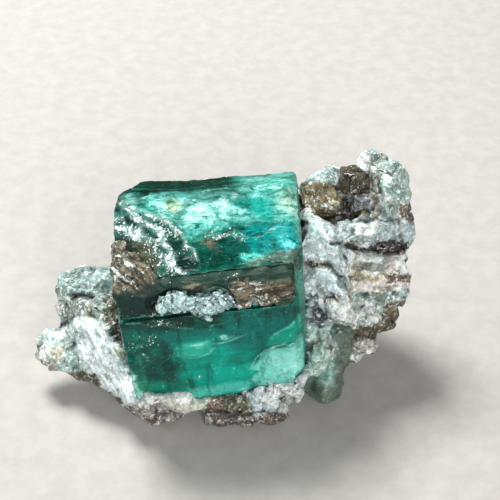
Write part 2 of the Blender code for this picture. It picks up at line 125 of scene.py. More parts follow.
class Noise:
    """Repeatable noise for arrays of points. Each use of it has a seed of its own."""

    AXIS_PRIMES = (73856093, 19349663, 83492791)
    SEED_PRIME = 982451653
    SCRAMBLE = 0x45D9F3B
    MASK = 0xFFFFFFFF

    @staticmethod
    def chance(grid: Array, seed: int) -> Array:
        """A number from 0 to 1 for each row of three whole numbers.

        Args:
            grid: rows of three whole numbers.
            seed: which field of numbers to draw from.

        Returns:
            One number for each row.
        """
        whole = grid.astype(np.int64)
        mixed = sum(whole[..., axis] * prime for axis, prime in enumerate(Noise.AXIS_PRIMES))
        mixed = (mixed + seed * Noise.SEED_PRIME) & Noise.MASK
        for _ in range(2):
            mixed = ((mixed ^ (mixed >> 16)) * Noise.SCRAMBLE) & Noise.MASK
        return ((mixed ^ (mixed >> 16)) & 0xFFFF) / 65535.0

    @staticmethod
    def chances(grid: Array, seed: int) -> Array:
        """Three numbers from 0 to 1 for each row of three whole numbers."""
        return np.column_stack([Noise.chance(grid, seed + axis) for axis in range(3)])

    @staticmethod
    def soft(points: Array, size: float, seed: int, octaves: int = 3) -> Array:
        """Soft noise, mostly within -1 to 1.

        Args:
            points: rows of x, y, z.
            size: width of the largest waves.
            seed: which field to draw from.
            octaves: how many ever finer layers are added.

        Returns:
            One number for each point.
        """
        total = np.zeros(len(points))
        weight = 1.0
        for octave in range(octaves):
            scaled = points * (2 ** octave / size)
            base = np.floor(scaled)
            part = ease(0.0, 1.0, scaled - base)
            value = np.zeros(len(points))
            for corner in product((0, 1), repeat=3):
                share = np.prod(np.where(corner, part, 1.0 - part), axis=1)
                value += share * Noise.chance(base + corner, seed + 17 * octave)
            total += weight * (2.0 * value - 1.0)
            weight *= 0.55
        return total

    @staticmethod
    def bend(points: Array, size: float, seeds: tuple[int, ...], octaves: int) -> Array:
        """Soft noise with one column for each seed, to bend places with."""
        return np.column_stack([Noise.soft(points, size, seed, octaves) for seed in seeds])

    @staticmethod
    def cells(points: Array, size: float, seed: int) -> Cells:
        """Splits space into broken, stone-like cells.

        Args:
            points: rows of x, y, z.
            size: the cells' usual width.
            seed: which field to draw from.

        Returns:
            Distances to the two nearest seeds, and the nearest one's place and number.
        """
        scaled = points / size
        base = np.floor(scaled)
        near = np.full(len(points), np.inf)
        second = near.copy()
        middle = np.zeros((len(points), 3))
        draw = np.zeros(len(points))
        for step in product((-1, 0, 1), repeat=3):
            home = base + step
            place = home + Noise.chances(home, seed)
            distance = np.linalg.norm(place - scaled, axis=1)
            closer = distance < near
            second = np.where(closer, near, np.minimum(second, distance))
            near = np.where(closer, distance, near)
            middle[closer] = place[closer]
            draw[closer] = Noise.chance(home[closer], seed + 7)
        return Cells(near * size, second * size, middle * size, draw)

    @staticmethod
    def facets(points: Array, size: float, seeds: tuple[int, int], tilt: float,
               step: float) -> tuple[Cells, Array]:
        """Flat facets, each tilted its own way.

        Args:
            points: rows of x, y, z.
            size: the facets' usual width.
            seeds: which fields to draw the facets and their tilts from.
            tilt: how steeply they lean.
            step: how much their levels differ.

        Returns:
            The facets as cells, and how high each point lies, from -0.8 to 0.8.
        """
        cells = Noise.cells(points, size, seeds[0])
        lean = Noise.chances(np.round(cells.middle * 53), seeds[1]) - 0.5
        plane = tilt * np.einsum("ij,ij->i", points - cells.middle, lean) / size
        return cells, np.clip(step * (cells.draw - 0.5) + plane, -0.8, 0.8)


# ---- the view


@dataclass(frozen=True)
class Sight:
    """The photograph's view. A place in it is (right, down), 500 to its width."""

    aim: Triple = (2.6, 0.0, 14.0)
    distance: float = 135.0
    height: float = 42.0
    frame_width: float = 61.0
    width: float = 500.0

    def towards(self) -> Array:
        """The way from the specimen to the camera."""
        angle = math.radians(self.height)
        return np.array((0.0, -math.cos(angle), math.sin(angle)))

    def spots(self, points: Array) -> Array:
        """Finds where points of the specimen are seen.

        Args:
            points: the points.

        Returns:
            Rows of (right, down).
        """
        angle = math.radians(self.height)
        offset = points - self.aim
        depth = self.distance - offset @ self.towards()
        scale = self.distance / self.frame_width * self.width / depth
        rise = offset @ (0.0, math.sin(angle), math.cos(angle))
        return np.column_stack([self.width / 2 + scale * offset[:, 0], self.width / 2 - scale * rise])


VIEW = Sight()


def gap_to(points: tuple[Spot, ...], closed: bool, spots: Array) -> Array:
    """How far spots are from an outline or a line, less than 0 inside an outline.

    Args:
        points: the outline's corners or the line's points.
        closed: whether it closes round an area.
        spots: rows of two numbers, in the same frame as the points.

    Returns:
        One distance for each spot.
    """
    outline = np.array(points, float)
    if len(outline) == 1:
        return np.linalg.norm(spots - outline[0], axis=1)
    nexts = np.roll(outline, -1, axis=0) if closed else outline[1:]
    best = np.full(len(spots), np.inf)
    inside = np.zeros(len(spots), bool)
    for start, end in zip(outline, nexts):
        run = end - start
        part = np.clip((spots - start) @ run / (run @ run), 0.0, 1.0)
        best = np.minimum(best, np.linalg.norm(spots - start - part[:, None] * run, axis=1))
        if closed and start[1] != end[1]:
            cross = (start[1] > spots[:, 1]) != (end[1] > spots[:, 1])
            level = start[0] + (spots[:, 1] - start[1]) * run[0] / run[1]
            inside ^= cross & (spots[:, 0] < level)
    return np.where(inside, -best, best)


# ---- meshes


def specimen_shift() -> Array:
    """Where the specimen's own frame lies in the row's frame."""
    low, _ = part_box("emerald_crystal")
    return np.array(low) / MM - np.array(EMERALD_CORNER)


SHIFT = specimen_shift()


def points_of(mesh: Mesh) -> Array:
    """A mesh's vertices in the specimen's own frame."""
    flat = np.empty(len(mesh.vertices) * 3)
    mesh.vertices.foreach_get("co", flat)
    return flat.reshape(-1, 3) / MM - SHIFT


def move_points(mesh: Mesh, points: Array) -> None:
    """Writes a mesh's vertices back from the specimen's own frame."""
    mesh.vertices.foreach_set("co", ((points + SHIFT) * MM).ravel())
    mesh.update()


def normals_of(mesh: Mesh) -> Array:
    """The way each vertex looks."""
    flat = np.empty(len(mesh.vertices) * 3)
    mesh.vertex_normals.foreach_get("vector", flat)
    return flat.reshape(-1, 3)


def hollows(mesh: Mesh, points: Array, rounds: int = 6, least: float = 0.04,
            full: float = 0.24) -> Array:
    """How far each vertex lies below the surface around it, from 0 to 0.95.

    Args:
        mesh: the mesh, already moved.
        points: its vertices.
        rounds: how often the surface around it is evened out.
        least: a hollow less deep than this doesn't count.
        full: a hollow this deep counts in full.

    Returns:
        One number for each vertex.
    """
    flat = np.empty(len(mesh.edges) * 2, np.int32)
    mesh.edges.foreach_get("vertices", flat)
    one, other = flat[0::2], flat[1::2]
    count = np.maximum(np.bincount(flat, minlength=len(points)), 1)
    size = len(points)
    smooth = points
    for _ in range(rounds):
        smooth = np.column_stack([
            (np.bincount(one, row[other], size) + np.bincount(other, row[one], size)) / count
            for row in smooth.T])
    return 0.95 * ease(least, full, np.einsum("ij,ij->i", smooth - points, normals_of(mesh)))


def link(name: str, mesh: Mesh) -> Object:
    """Puts a mesh in the scene as an object at the origin."""
    obj = bpy.data.objects.new(name, mesh)
    bpy.context.scene.collection.objects.link(obj)
    return obj


def settle(obj: Object) -> None:
    """Replaces an object's mesh with what its modifiers make of it.

    Args:
        obj: the object, whose modifiers are then removed.
    """
    graph = bpy.context.evaluated_depsgraph_get()
    made = bpy.data.meshes.new_from_object(obj.evaluated_get(graph))
    obj.modifiers.clear()
    obj.data = made


def fine_copy(node: str, name: str, cell: float, smoothing: int) -> Object:
    """A copy of a CAD node in small, even cells.

    Args:
        node: the CAD node.
        name: the new piece's name.
        cell: width of a cell.
        smoothing: how many times the surface is eased.

    Returns:
        The new object.
    """
    bm = bmesh.new()
    bm.from_mesh(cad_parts[node].data)
    bmesh.ops.remove_doubles(bm, verts=bm.verts, dist=1e-7)
    mesh = bpy.data.meshes.new(name)
    bm.to_mesh(mesh)
    bm.free()
    obj = link(name, mesh)
    remesh = obj.modifiers.new("Cells", "REMESH")
    remesh.mode = "VOXEL"
    remesh.voxel_size = cell * MM
    relax = obj.modifiers.new("Ease", "SMOOTH")
    relax.factor = 0.5
    relax.iterations = smoothing
    settle(obj)
    return obj


def lean_on(points: Array, neighbour: Object, reach: float, overlap: float) -> Array:
    """Draws the points that lie close to a neighbour onto it, so that no gap shows.

    Args:
        points: the points to move.
        neighbour: the piece that they lean on.
        reach: points further away than this stay.
        overlap: how far past the surface the nearest points end.

    Returns:
        The moved points.
    """
    faces = [tuple(face.vertices) for face in neighbour.data.polygons]
    tree = BVHTree.FromPolygons([tuple(point) for point in points_of(neighbour.data)], faces)
    moved = points.copy()
    for index, point in enumerate(points):
        found, normal, _, distance = tree.find_nearest(point, reach)
        if found is None:
            continue
        share = min(1.0, 2.0 * (1.0 - distance / reach))
        target = np.array(found) - overlap * np.array(normal)
        moved[index] += share * (target - point)
    return moved


def wear(mesh: Mesh, material: Material, smooth: bool = True, **values: Array) -> None:
    """Gives a mesh its material, and stores a number or a colour for each vertex.

    Args:
        mesh: the mesh.
        material: its one material.
        smooth: whether its faces are shaded smooth.
        values: the numbers, or rows of three, by the name that the material reads.
    """
    for name, rows in values.items():
        if rows.ndim == 1:
            mesh.attributes.new(name, "FLOAT", "POINT").data.foreach_set("value", rows.astype(np.float32))
        else:
            full = np.ones((len(rows), 4), np.float32)
            full[:, :3] = rows
            mesh.attributes.new(name, "FLOAT_COLOR", "POINT").data.foreach_set("color", full.ravel())
    mesh.polygons.foreach_set("use_smooth", np.full(len(mesh.polygons), smooth))
    mesh.materials.clear()
    mesh.materials.append(material)


def hand_in(obj: Object, node: str = "") -> None:
    """Registers a finished piece.

    Args:
        obj: the piece, which is part of the root body.
        node: the CAD node that it stands for, if any.
    """
    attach(obj, "root")
    if node:
        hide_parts(node)
    LOG.info("%s: %d faces", obj.name, len(obj.data.polygons))


# ---- node trees


def add_node(tree: NodeTree, kind: str, given: dict, **settings: object) -> Node:
    """Adds a node to a tree.

    Args:
        tree: the tree.
        kind: the node's type.
        given: what each input gets, another node's output or a plain value, by name or place.
        settings: the node's own settings.

    Returns:
        The node.
    """
    node = tree.nodes.new(kind)
    for name, value in settings.items():
        setattr(node, name, value)
    for socket, value in given.items():
        if isinstance(value, NodeSocket):
            tree.links.new(value, node.inputs[socket])
        else:
            node.inputs[socket].default_value = value
    return node


class Field:
    """A number, colour or place that varies over a piece, as a material's nodes see it."""

    def __init__(self, shade: "Shade", socket: NodeSocket) -> None:
        """Keeps a node's output and the material that it belongs to."""
        self.shade = shade
        self.socket = socket

    def __add__(self, other: "Field | float") -> "Field":
        """The sum of two numbers."""
        return self.shade.add("Math", {0: self, 1: other}, operation="ADD")

    def __mul__(self, other: "Field | float") -> "Field":
        """The product of two numbers."""
        return self.shade.add("Math", {0: self, 1: other}, operation="MULTIPLY")

    def most(self, other: "Field") -> "Field":
        """The larger of two numbers."""
        return self.shade.add("Math", {0: self, 1: other}, operation="MAXIMUM")

    def span(self, low: float, high: float, start: float = 0.0, end: float = 1.0) -> "Field":
        """Takes low..high to start..end, softly."""
        given = {"Value": self, "From Min": low, "From Max": high, "To Min": start, "To Max": end}
        return self.shade.add("MapRange", given, interpolation_type="SMOOTHSTEP")

    def mix(self, share: "Field | float", other: "Field | Triple", kind: str = "MIX") -> "Field":
        """This colour, blended with another."""
        return self.shade.mix(share, self, other, kind)

    def axis(self, name: str) -> "Field":
        """One coordinate of this place."""
        return self.shade.add("SeparateXYZ", {"Vector": self}, name)

    def noise(self, scale: float, detail: float = 4.0, bend: float = 0.0) -> "Field":
        """Cloudy noise from 0 to 1 at this place."""
        given = {"Vector": self, "Scale": scale, "Detail": detail, "Roughness": 0.62, "Distortion": bend}
        return self.shade.add("TexNoise", given, "Fac")

    def warped(self, scale: float, amount: float) -> "Field":
        """This place bent by noise, so that cells in it look torn."""
        bend = self.shade.add("TexNoise", {"Vector": self, "Scale": scale, "Detail": 4.0}, "Color")
        return self.shade.add("VectorMath", {0: bend, 1: (amount,) * 3, 2: self}, operation="MULTIPLY_ADD")

    def crystals(self, scale: float) -> "Crystals":
        """Small cells at this place."""
        node = add_node(self.shade.tree, "ShaderNodeTexVoronoi", {"Vector": self.socket, "Scale": scale})
        middle, colour = (Field(self.shade, node.outputs[name]) for name in ("Position", "Color"))
        return Crystals(self, middle, colour)


@dataclass(frozen=True)
class Crystals:
    """Small cells of a material: the place, each cell's middle, and its own random colour."""

    place: Field
    middle: Field
    colour: Field

    def draw(self) -> Field:
        """Each cell's own number from 0 to 1."""
        return self.place.shade.add("SeparateColor", {"Color": self.colour})

    def lean(self) -> Field:
        """Each cell's own way."""
        given = {0: self.colour, 1: (0.5, 0.5, 0.5)}
        return self.place.shade.add("VectorMath", given, operation="SUBTRACT")

    def fibres(self, scale: float) -> Field:
        """Streaks that run their own way in each cell.

        Args:
            scale: how fine they are.

        Returns:
            A number from 0 to 1.
        """
        add = self.place.shade.add
        turned = add("VectorRotate", {"Vector": self.place, "Center": self.middle,
                                      "Axis": self.lean(), "Angle": self.draw() * 6.28})
        drawn_out = add("VectorMath", {0: turned, 1: (1.0, 1.0, 0.12)}, operation="MULTIPLY")
        return drawn_out.noise(scale, 6.0, 0.3)

    def facets(self) -> Field:
        """The height of flat facets, one for each cell, each tilted its own way."""
        add = self.place.shade.add
        offset = add("VectorMath", {0: self.place, 1: self.middle}, operation="SUBTRACT")
        return add("VectorMath", {0: offset, 1: self.lean()}, "Value", operation="DOT_PRODUCT")


class Shade:
    """A material and its node tree."""

    def __init__(self, name: str) -> None:
        """Makes the material with its Principled shader.

        Args:
            name: the material's name.
        """
        self.material = bpy.data.materials.new(name)
        self.material.use_nodes = True
        self.tree = self.material.node_tree
        self.shader = self.tree.nodes["Principled BSDF"]

    def add(self, kind: str, given: dict, output: int | str = 0, **settings: object) -> Field:
        """Adds a shader node.

        Args:
            kind: the node's type, without its first words.
            given: what each input gets, a field or a plain value, by name or place.
            output: which output is wanted.
            settings: the node's own settings.

        Returns:
            The output.
        """
        plain = {name: value.socket if isinstance(value, Field) else value for name, value in given.items()}
        return Field(self, add_node(self.tree, "ShaderNode" + kind, plain, **settings).outputs[output])

    def value(self, name: str) -> Field:
        """One of the piece's own numbers, by name."""
        return self.add("Attribute", {}, "Fac", attribute_name=name)

    def colour(self, name: str) -> Field:
        """One of the piece's own colours, by name."""
        return self.add("Attribute", {}, "Color", attribute_name=name)

    def place(self, stretch: Triple = (1, 1, 1), middle: Triple = (0, 0, 0),
              turn: Triple = (0, 0, 0)) -> Field:
        """The point being shaded, in millimetres over a stretch.

        Args:
            stretch: how many millimetres make one step along each axis.
            middle: the origin to measure from.
            turn: the axes' turn, in degrees.

        Returns:
            The point.
        """
        given = {"Vector": self.add("TexCoord", {}, "Object"),
                 "Location": (np.array(middle) + SHIFT) * MM,
                 "Rotation": [math.radians(angle) for angle in turn],
                 "Scale": [side * MM for side in stretch]}
        return self.add("Mapping", given, vector_type="TEXTURE")

    def mix(self, share: Field | float, first: Field | Triple, second: Field | Triple,
            kind: str = "MIX") -> Field:
        """Blends two colours.

        Args:
            share: how much of the second colour.
            first: the first colour.
            second: the second colour.
            kind: how they blend.

        Returns:
            The blended colour.
        """
        first, second = (paint if isinstance(paint, Field) else (*paint, 1.0) for paint in (first, second))
        return self.add("Mix", {"Factor": share, 6: first, 7: second}, 2, data_type="RGBA", blend_type=kind)

    def bump(self, height: Field, depth: float, strength: float) -> None:
        """Lets a height in millimetres move the shading."""
        given = {"Distance": depth * MM, "Strength": strength, "Height": height}
        self.tree.links.new(self.add("Bump", given).socket, self.shader.inputs["Normal"])

    def water(self, colour: Triple, density: float) -> None:
        """Fills the piece with a clear colour that deepens with its thickness."""
        depth = self.add("VolumeAbsorption", {"Color": (*colour, 1.0), "Density": density})
        self.tree.links.new(depth.socket, self.tree.nodes["Material Output"].inputs["Volume"])

    def finish(self, **values: Field | float) -> Material:
        """Sets the shader's inputs.

        Args:
            values: fields or plain numbers, by the inputs' names with _ for a space.

        Returns:
            The finished material.
        """
        for name, value in values.items():
            socket = self.shader.inputs[name.replace("_", " ")]
            if isinstance(value, Field):
                self.tree.links.new(value.socket, socket)
            else:
                socket.default_value = value
        return self.material


# ---- scattered grains


@dataclass(frozen=True)
class GrainFinish:
    """Loose grains that take some of their colour from what they lie on."""

    name: str
    light: Triple
    share: float
    rough: float = 0.3

    def material(self) -> Material:
        """Builds the material.

        Returns:
            The material, in which shade is each grain's own number and tint the colour below it.
        """
        shade = Shade(self.name)
        own = shade.value("shade")
        under = shade.colour("tint")
        fine = shade.place().noise(5.0, 3.0)
        tint = shade.mix(self.share, self.light, under).mix(own.span(0.0, 0.45, 0.65, 0.0), under)
        tint = tint.mix(fine.span(0.62, 0.35, 0.0, 0.35), tone("a9b0ad"), "MULTIPLY")
        shade.bump(fine, 0.08, 0.6)
        rough = own.span(0.0, 1.0, self.rough, self.rough + 0.3)
        return shade.finish(Base_Color=tint, Roughness=rough, IOR=QUARTZ_IOR)


@dataclass(frozen=True)
class PlateFinish:
    """Mica plates: dark, with a bronze or silver sheen."""

    name: str
    dark: Triple
    light: Triple
    metallic: float = 0.35

    def material(self) -> Material:
        """Builds the material.

        Returns:
            The material, in which shade is each plate's own number.
        """
        shade = Shade(self.name)
        fine = shade.place().noise(6.0, 3.0)
        tint = shade.mix(shade.value("shade").span(0.2, 0.9), self.dark, self.light)
        tint = tint.mix(fine.span(0.4, 0.65, 0.5, 0.0), tone("6b5a3c"), "MULTIPLY")
        shade.bump(fine, 0.05, 0.5)
        rough = fine.span(0.3, 0.7, 0.22, 0.42)
        return shade.finish(Base_Color=tint, Roughness=rough, Metallic=self.metallic)


class GrainForm(Enum):
    """What a scattered grain looks like."""

    SUGAR = "sugar"
    PLATE = "plate"


@dataclass(frozen=True)
class Scatter:
    """Grains or plates strewn over a surface, thickest where a named number is high.

    smallest and largest are in millimetres, and tilt is in degrees.
    slot is not used.
    """

    name: str
    form: GrainForm
    where: str
    per_mm2: float
    smallest: float
    largest: float
    tilt: float
    seed: int
    finish: GrainFinish | PlateFinish
    slot: str

    def tree(self) -> NodeTree:
        """Builds the node tree that strews the grains.

        Returns:
            The tree, with Density, Smallest, Largest, Tilt, Seed and Finish as its inputs.
        """
        tree = bpy.data.node_groups.new(self.name, "GeometryNodeTree")
        for name, kind in (("Geometry", "Geometry"), ("Density", "Float"), ("Smallest", "Float"),
                           ("Largest", "Float"), ("Tilt", "Float"), ("Seed", "Int"),
                           ("Finish", "Material")):
            tree.interface.new_socket(name, in_out="INPUT", socket_type="NodeSocket" + kind)
        tree.interface.new_socket("Geometry", in_out="OUTPUT", socket_type="NodeSocketGeometry")

        def add(kind: str, given: dict, output: int | str = 0, **settings: object) -> NodeSocket:
            """Adds a node and gives one of its outputs."""
            return add_node(tree, kind, given, **settings).outputs[output]

        given = tree.nodes.new("NodeGroupInput").outputs
        weight = add("GeometryNodeInputNamedAttribute", {"Name": self.where}, "Attribute",
                     data_type="FLOAT")
        density = add("ShaderNodeMath", {0: weight, 1: given["Density"]}, operation="MULTIPLY")
        strew = add_node(tree, "GeometryNodeDistributePointsOnFaces",
                         {"Mesh": given["Geometry"], "Density": density, "Seed": given["Seed"]})

        wide = add("ShaderNodeCombineXYZ", {"X": given["Tilt"], "Y": given["Tilt"], "Z": math.pi})
        back = add("ShaderNodeVectorMath", {0: wide, "Scale": -1.0}, operation="SCALE")
        spin = add("FunctionNodeRandomValue", {0: back, 1: wide}, data_type="FLOAT_VECTOR")
        turn = add("FunctionNodeEulerToRotation", {0: spin})
        lie = add("FunctionNodeRotateRotation", {"Rotation": strew.outputs["Rotation"], "Rotate By": turn},
                  rotation_space="LOCAL")
        least, most = (add("ShaderNodeCombineXYZ", {axis: given[name] for axis in range(3)})
                       for name in ("Smallest", "Largest"))
        size = add("FunctionNodeRandomValue", {0: least, 1: most, "Seed": 3}, data_type="FLOAT_VECTOR")
        pick = add("FunctionNodeRandomValue", {4: 0, 5: 1, "Seed": 5}, 2, data_type="INT")
        grow = add("GeometryNodeInstanceOnPoints", {
            "Points": strew.outputs["Points"], "Instance": self.shapes(tree), "Pick Instance": True,
            "Instance Index": pick, "Rotation": lie, "Scale": size})

        shade = add("FunctionNodeRandomValue", {"Seed": 9}, 1)
        keep = add("GeometryNodeStoreNamedAttribute", {"Geometry": grow, "Name": "shade", "Value": shade},
                   data_type="FLOAT", domain="INSTANCE")
        real = add("GeometryNodeRealizeInstances", {"Geometry": keep})
        paint = add("GeometryNodeSetMaterial", {"Geometry": real, "Material": given["Finish"]})
        add_node(tree, "NodeGroupOutput", {"Geometry": paint})
        return tree

    def shapes(self, tree: NodeTree) -> NodeSocket:
        """The two shapes that the grains are picked from, about 1 mm wide.

        Args:
            tree: the tree that the shapes are added to.

        Returns:
            The shapes as two instances.
        """
        if self.form is GrainForm.SUGAR:
            kinds = (("Cube", {"Size": (1.0 * MM, 0.8 * MM, 0.7 * MM)}),
                     ("Cone", {"Vertices": 5, "Radius Top": 0.28 * MM, "Radius Bottom": 0.55 * MM,
                               "Depth": 0.8 * MM}))
        else:
            kinds = [("Cylinder", {"Vertices": corners, "Radius": 0.6 * MM, "Depth": 0.14 * MM})
                     for corners in (6, 5)]
        both = tree.nodes.new("GeometryNodeJoinGeometry")
        for kind, sizes in kinds:
            body = add_node(tree, "GeometryNodeMesh" + kind, sizes)
            wrap = add_node(tree, "GeometryNodeGeometryToInstance", {0: body.outputs["Mesh"]})
            tree.links.new(wrap.outputs[0], both.inputs[0])
        return both.outputs[0]

    def over(self, host: Object) -> Object:
        """Strews the grains over a piece.

        Args:
            host: the piece that they lie on.

        Returns:
            The grains as one plain mesh.
        """
        grains = link(self.name, host.data.copy())
        tree = self.tree()
        strew = grains.modifiers.new("Strew", "NODES")
        strew.node_group = tree
        given = {"Density": self.per_mm2 / MM ** 2, "Smallest": self.smallest, "Largest": self.largest,
                 "Tilt": math.radians(self.tilt), "Seed": self.seed, "Finish": self.finish.material()}
        for item in tree.interface.items_tree:
            if item.item_type == "SOCKET" and item.in_out == "INPUT" and item.name in given:
                strew[item.identifier] = given[item.name]
        settle(grains)
        grains.data.shade_flat()
        return grains


@dataclass
class Piece:
    """A finished piece that stands for one CAD node, with the grains that lie on it."""

    node: str
    name: str
    obj: Object = field(init=False)
    grains: tuple[Scatter, ...] = field(init=False, default=())

    def begin(self, cell: float, smoothing: int) -> tuple[Mesh, Array, Array]:
        """Copies the CAD node in fine cells: the mesh, its vertices and the way each looks."""
        self.obj = fine_copy(self.node, self.name, cell, smoothing)
        return self.obj.data, points_of(self.obj.data), normals_of(self.obj.data)

    def dress(self) -> None:
        """Strews the piece's grains, and attaches the piece and its grains to the root body."""
        strewn = [scatter.over(self.obj) for scatter in self.grains]
        hand_in(self.obj, self.node)
        for scatter, grains in zip(self.grains, strewn):
            hand_in(grains)


# ---- the emerald


class Face(Enum):
    """A side face of the emerald: its lower edge (y, z), and the way it looks, in degrees."""

    FRONT = ((-9.6, -9.3), 3.0)
    TOP = ((-6.6112, 7.6041), 62.0)
    BACK = ((2.1741, 12.2753), 120.0)

    def way(self) -> Triple:
        """The way the face looks, in the emerald's own frame."""
        angle = math.radians(self.value[1])
        return 0.0, -math.cos(angle), math.sin(angle)

    def spots(self, own: Array) -> tuple[Array, Array]:
        """Measures points from the face's lower edge.

        Args:
            own: points in the emerald's own frame.

        Returns:
            How far up the face each point lies, and how far in front of it.
        """
        (edge_y, edge_z), _ = self.value
        _, way_y, way_z = self.way()
        back, rise = own[:, 1] - edge_y, own[:, 2] - edge_z
        return back * way_z - rise * way_y, rise * way_z + back * way_y


@dataclass(frozen=True)
class CrystalLie:
    """How the emerald lies in the specimen."""

    middle: Triple = (-3.2, -6.2, 14.2)
    turn: float = 4.0
    rise: float = 5.0

    def matrix(self) -> Matrix:
        """Takes the emerald's own frame to the specimen's."""
        turn = Matrix.Rotation(math.radians(self.turn), 4, "Z")
        return Matrix.Translation(self.middle) @ turn @ Matrix.Rotation(math.radians(-self.rise), 4, "Y")

    def own(self, points: Array) -> Array:
        """Takes points of the specimen to the emerald's own frame."""
        back = np.array(self.matrix().inverted())
        return points @ back[:3, :3].T + back[:3, 3]

    def way(self, own_way: Triple) -> Array:
        """Takes a way in the emerald's own frame to the specimen's."""
        return np.array(self.matrix().to_3x3() @ Vector(own_way))


LIE = CrystalLie()


class MarkForm(Enum):
    """Whether a mark's points run round an area or along a line."""

    AREA = "area"
    LINE = "line"


@dataclass(frozen=True)
class Mark:
    """One patch, veil or vein on a face of the emerald.

    The points are (u, up) on the face. width is a line's half width, or how far an area swells
    past its outline. soft is the width of its edge, ragged how much noise moves the edge, and
    broken how much of it is missing in crumbs. clear and rough are the finish inside it, lift
    raises it, crumb strews white grains over it, and milk and vein cloud it or crust it white.
    """

    form: MarkForm
    points: tuple[Spot, ...]
    colour: str
    clear: float
    width: float = 0.0
    soft: float = 0.5
    ragged: float = 0.4
    broken: float = 0.0
    streak: float = 3.0
    rough: float = 0.3
    lift: float = 0.0
    crumb: float = 0.0
    milk: float = 0.0
    vein: float = 0.0
    amount: float = 1.0

    def mask(self, spots: Array, seed: int) -> Array:
        """How much of the mark each spot has, from 0 to 1.

        Args:
            spots: rows of (u, up).
            seed: which noise bends and breaks the mark.

        Returns:
            One number for each spot.
        """
        flat = np.column_stack([spots[:, 0] / self.streak, spots[:, 1], np.full(len(spots), seed * 7.3)])
        bent = spots + Noise.bend(flat, 1.4, (seed, seed + 50), 4) * self.ragged * (1.0, 0.8)
        gap = gap_to(self.points, self.form is MarkForm.AREA, bent) - self.width
        mask = 1.0 - ease(-self.soft, self.soft, gap)
        if self.broken:
            crumbs = Noise.soft(flat * (1.4, 1.0, 1.0), 0.7, seed + 90, 3)
            mask *= ease(self.broken - 0.75, self.broken - 0.35, crumbs)
        return mask * self.amount


def area(colour: str, clear: float, *points: Spot, **more: float) -> Mark:
    """A mark whose points run round it."""
    return Mark(MarkForm.AREA, points, colour, clear, **more)


def line(colour: str, clear: float, width: float, *points: Spot, **more: float) -> Mark:
    """A mark that runs along its points."""
    return Mark(MarkForm.LINE, points, colour, clear, width, **more)


def vein(colour: str, width: float, *points: Spot, **more: float) -> Mark:
    """A rough white vein."""
    return line(colour, 0.0, width, *points, ragged=0.5, streak=1.0, rough=0.7, **more)


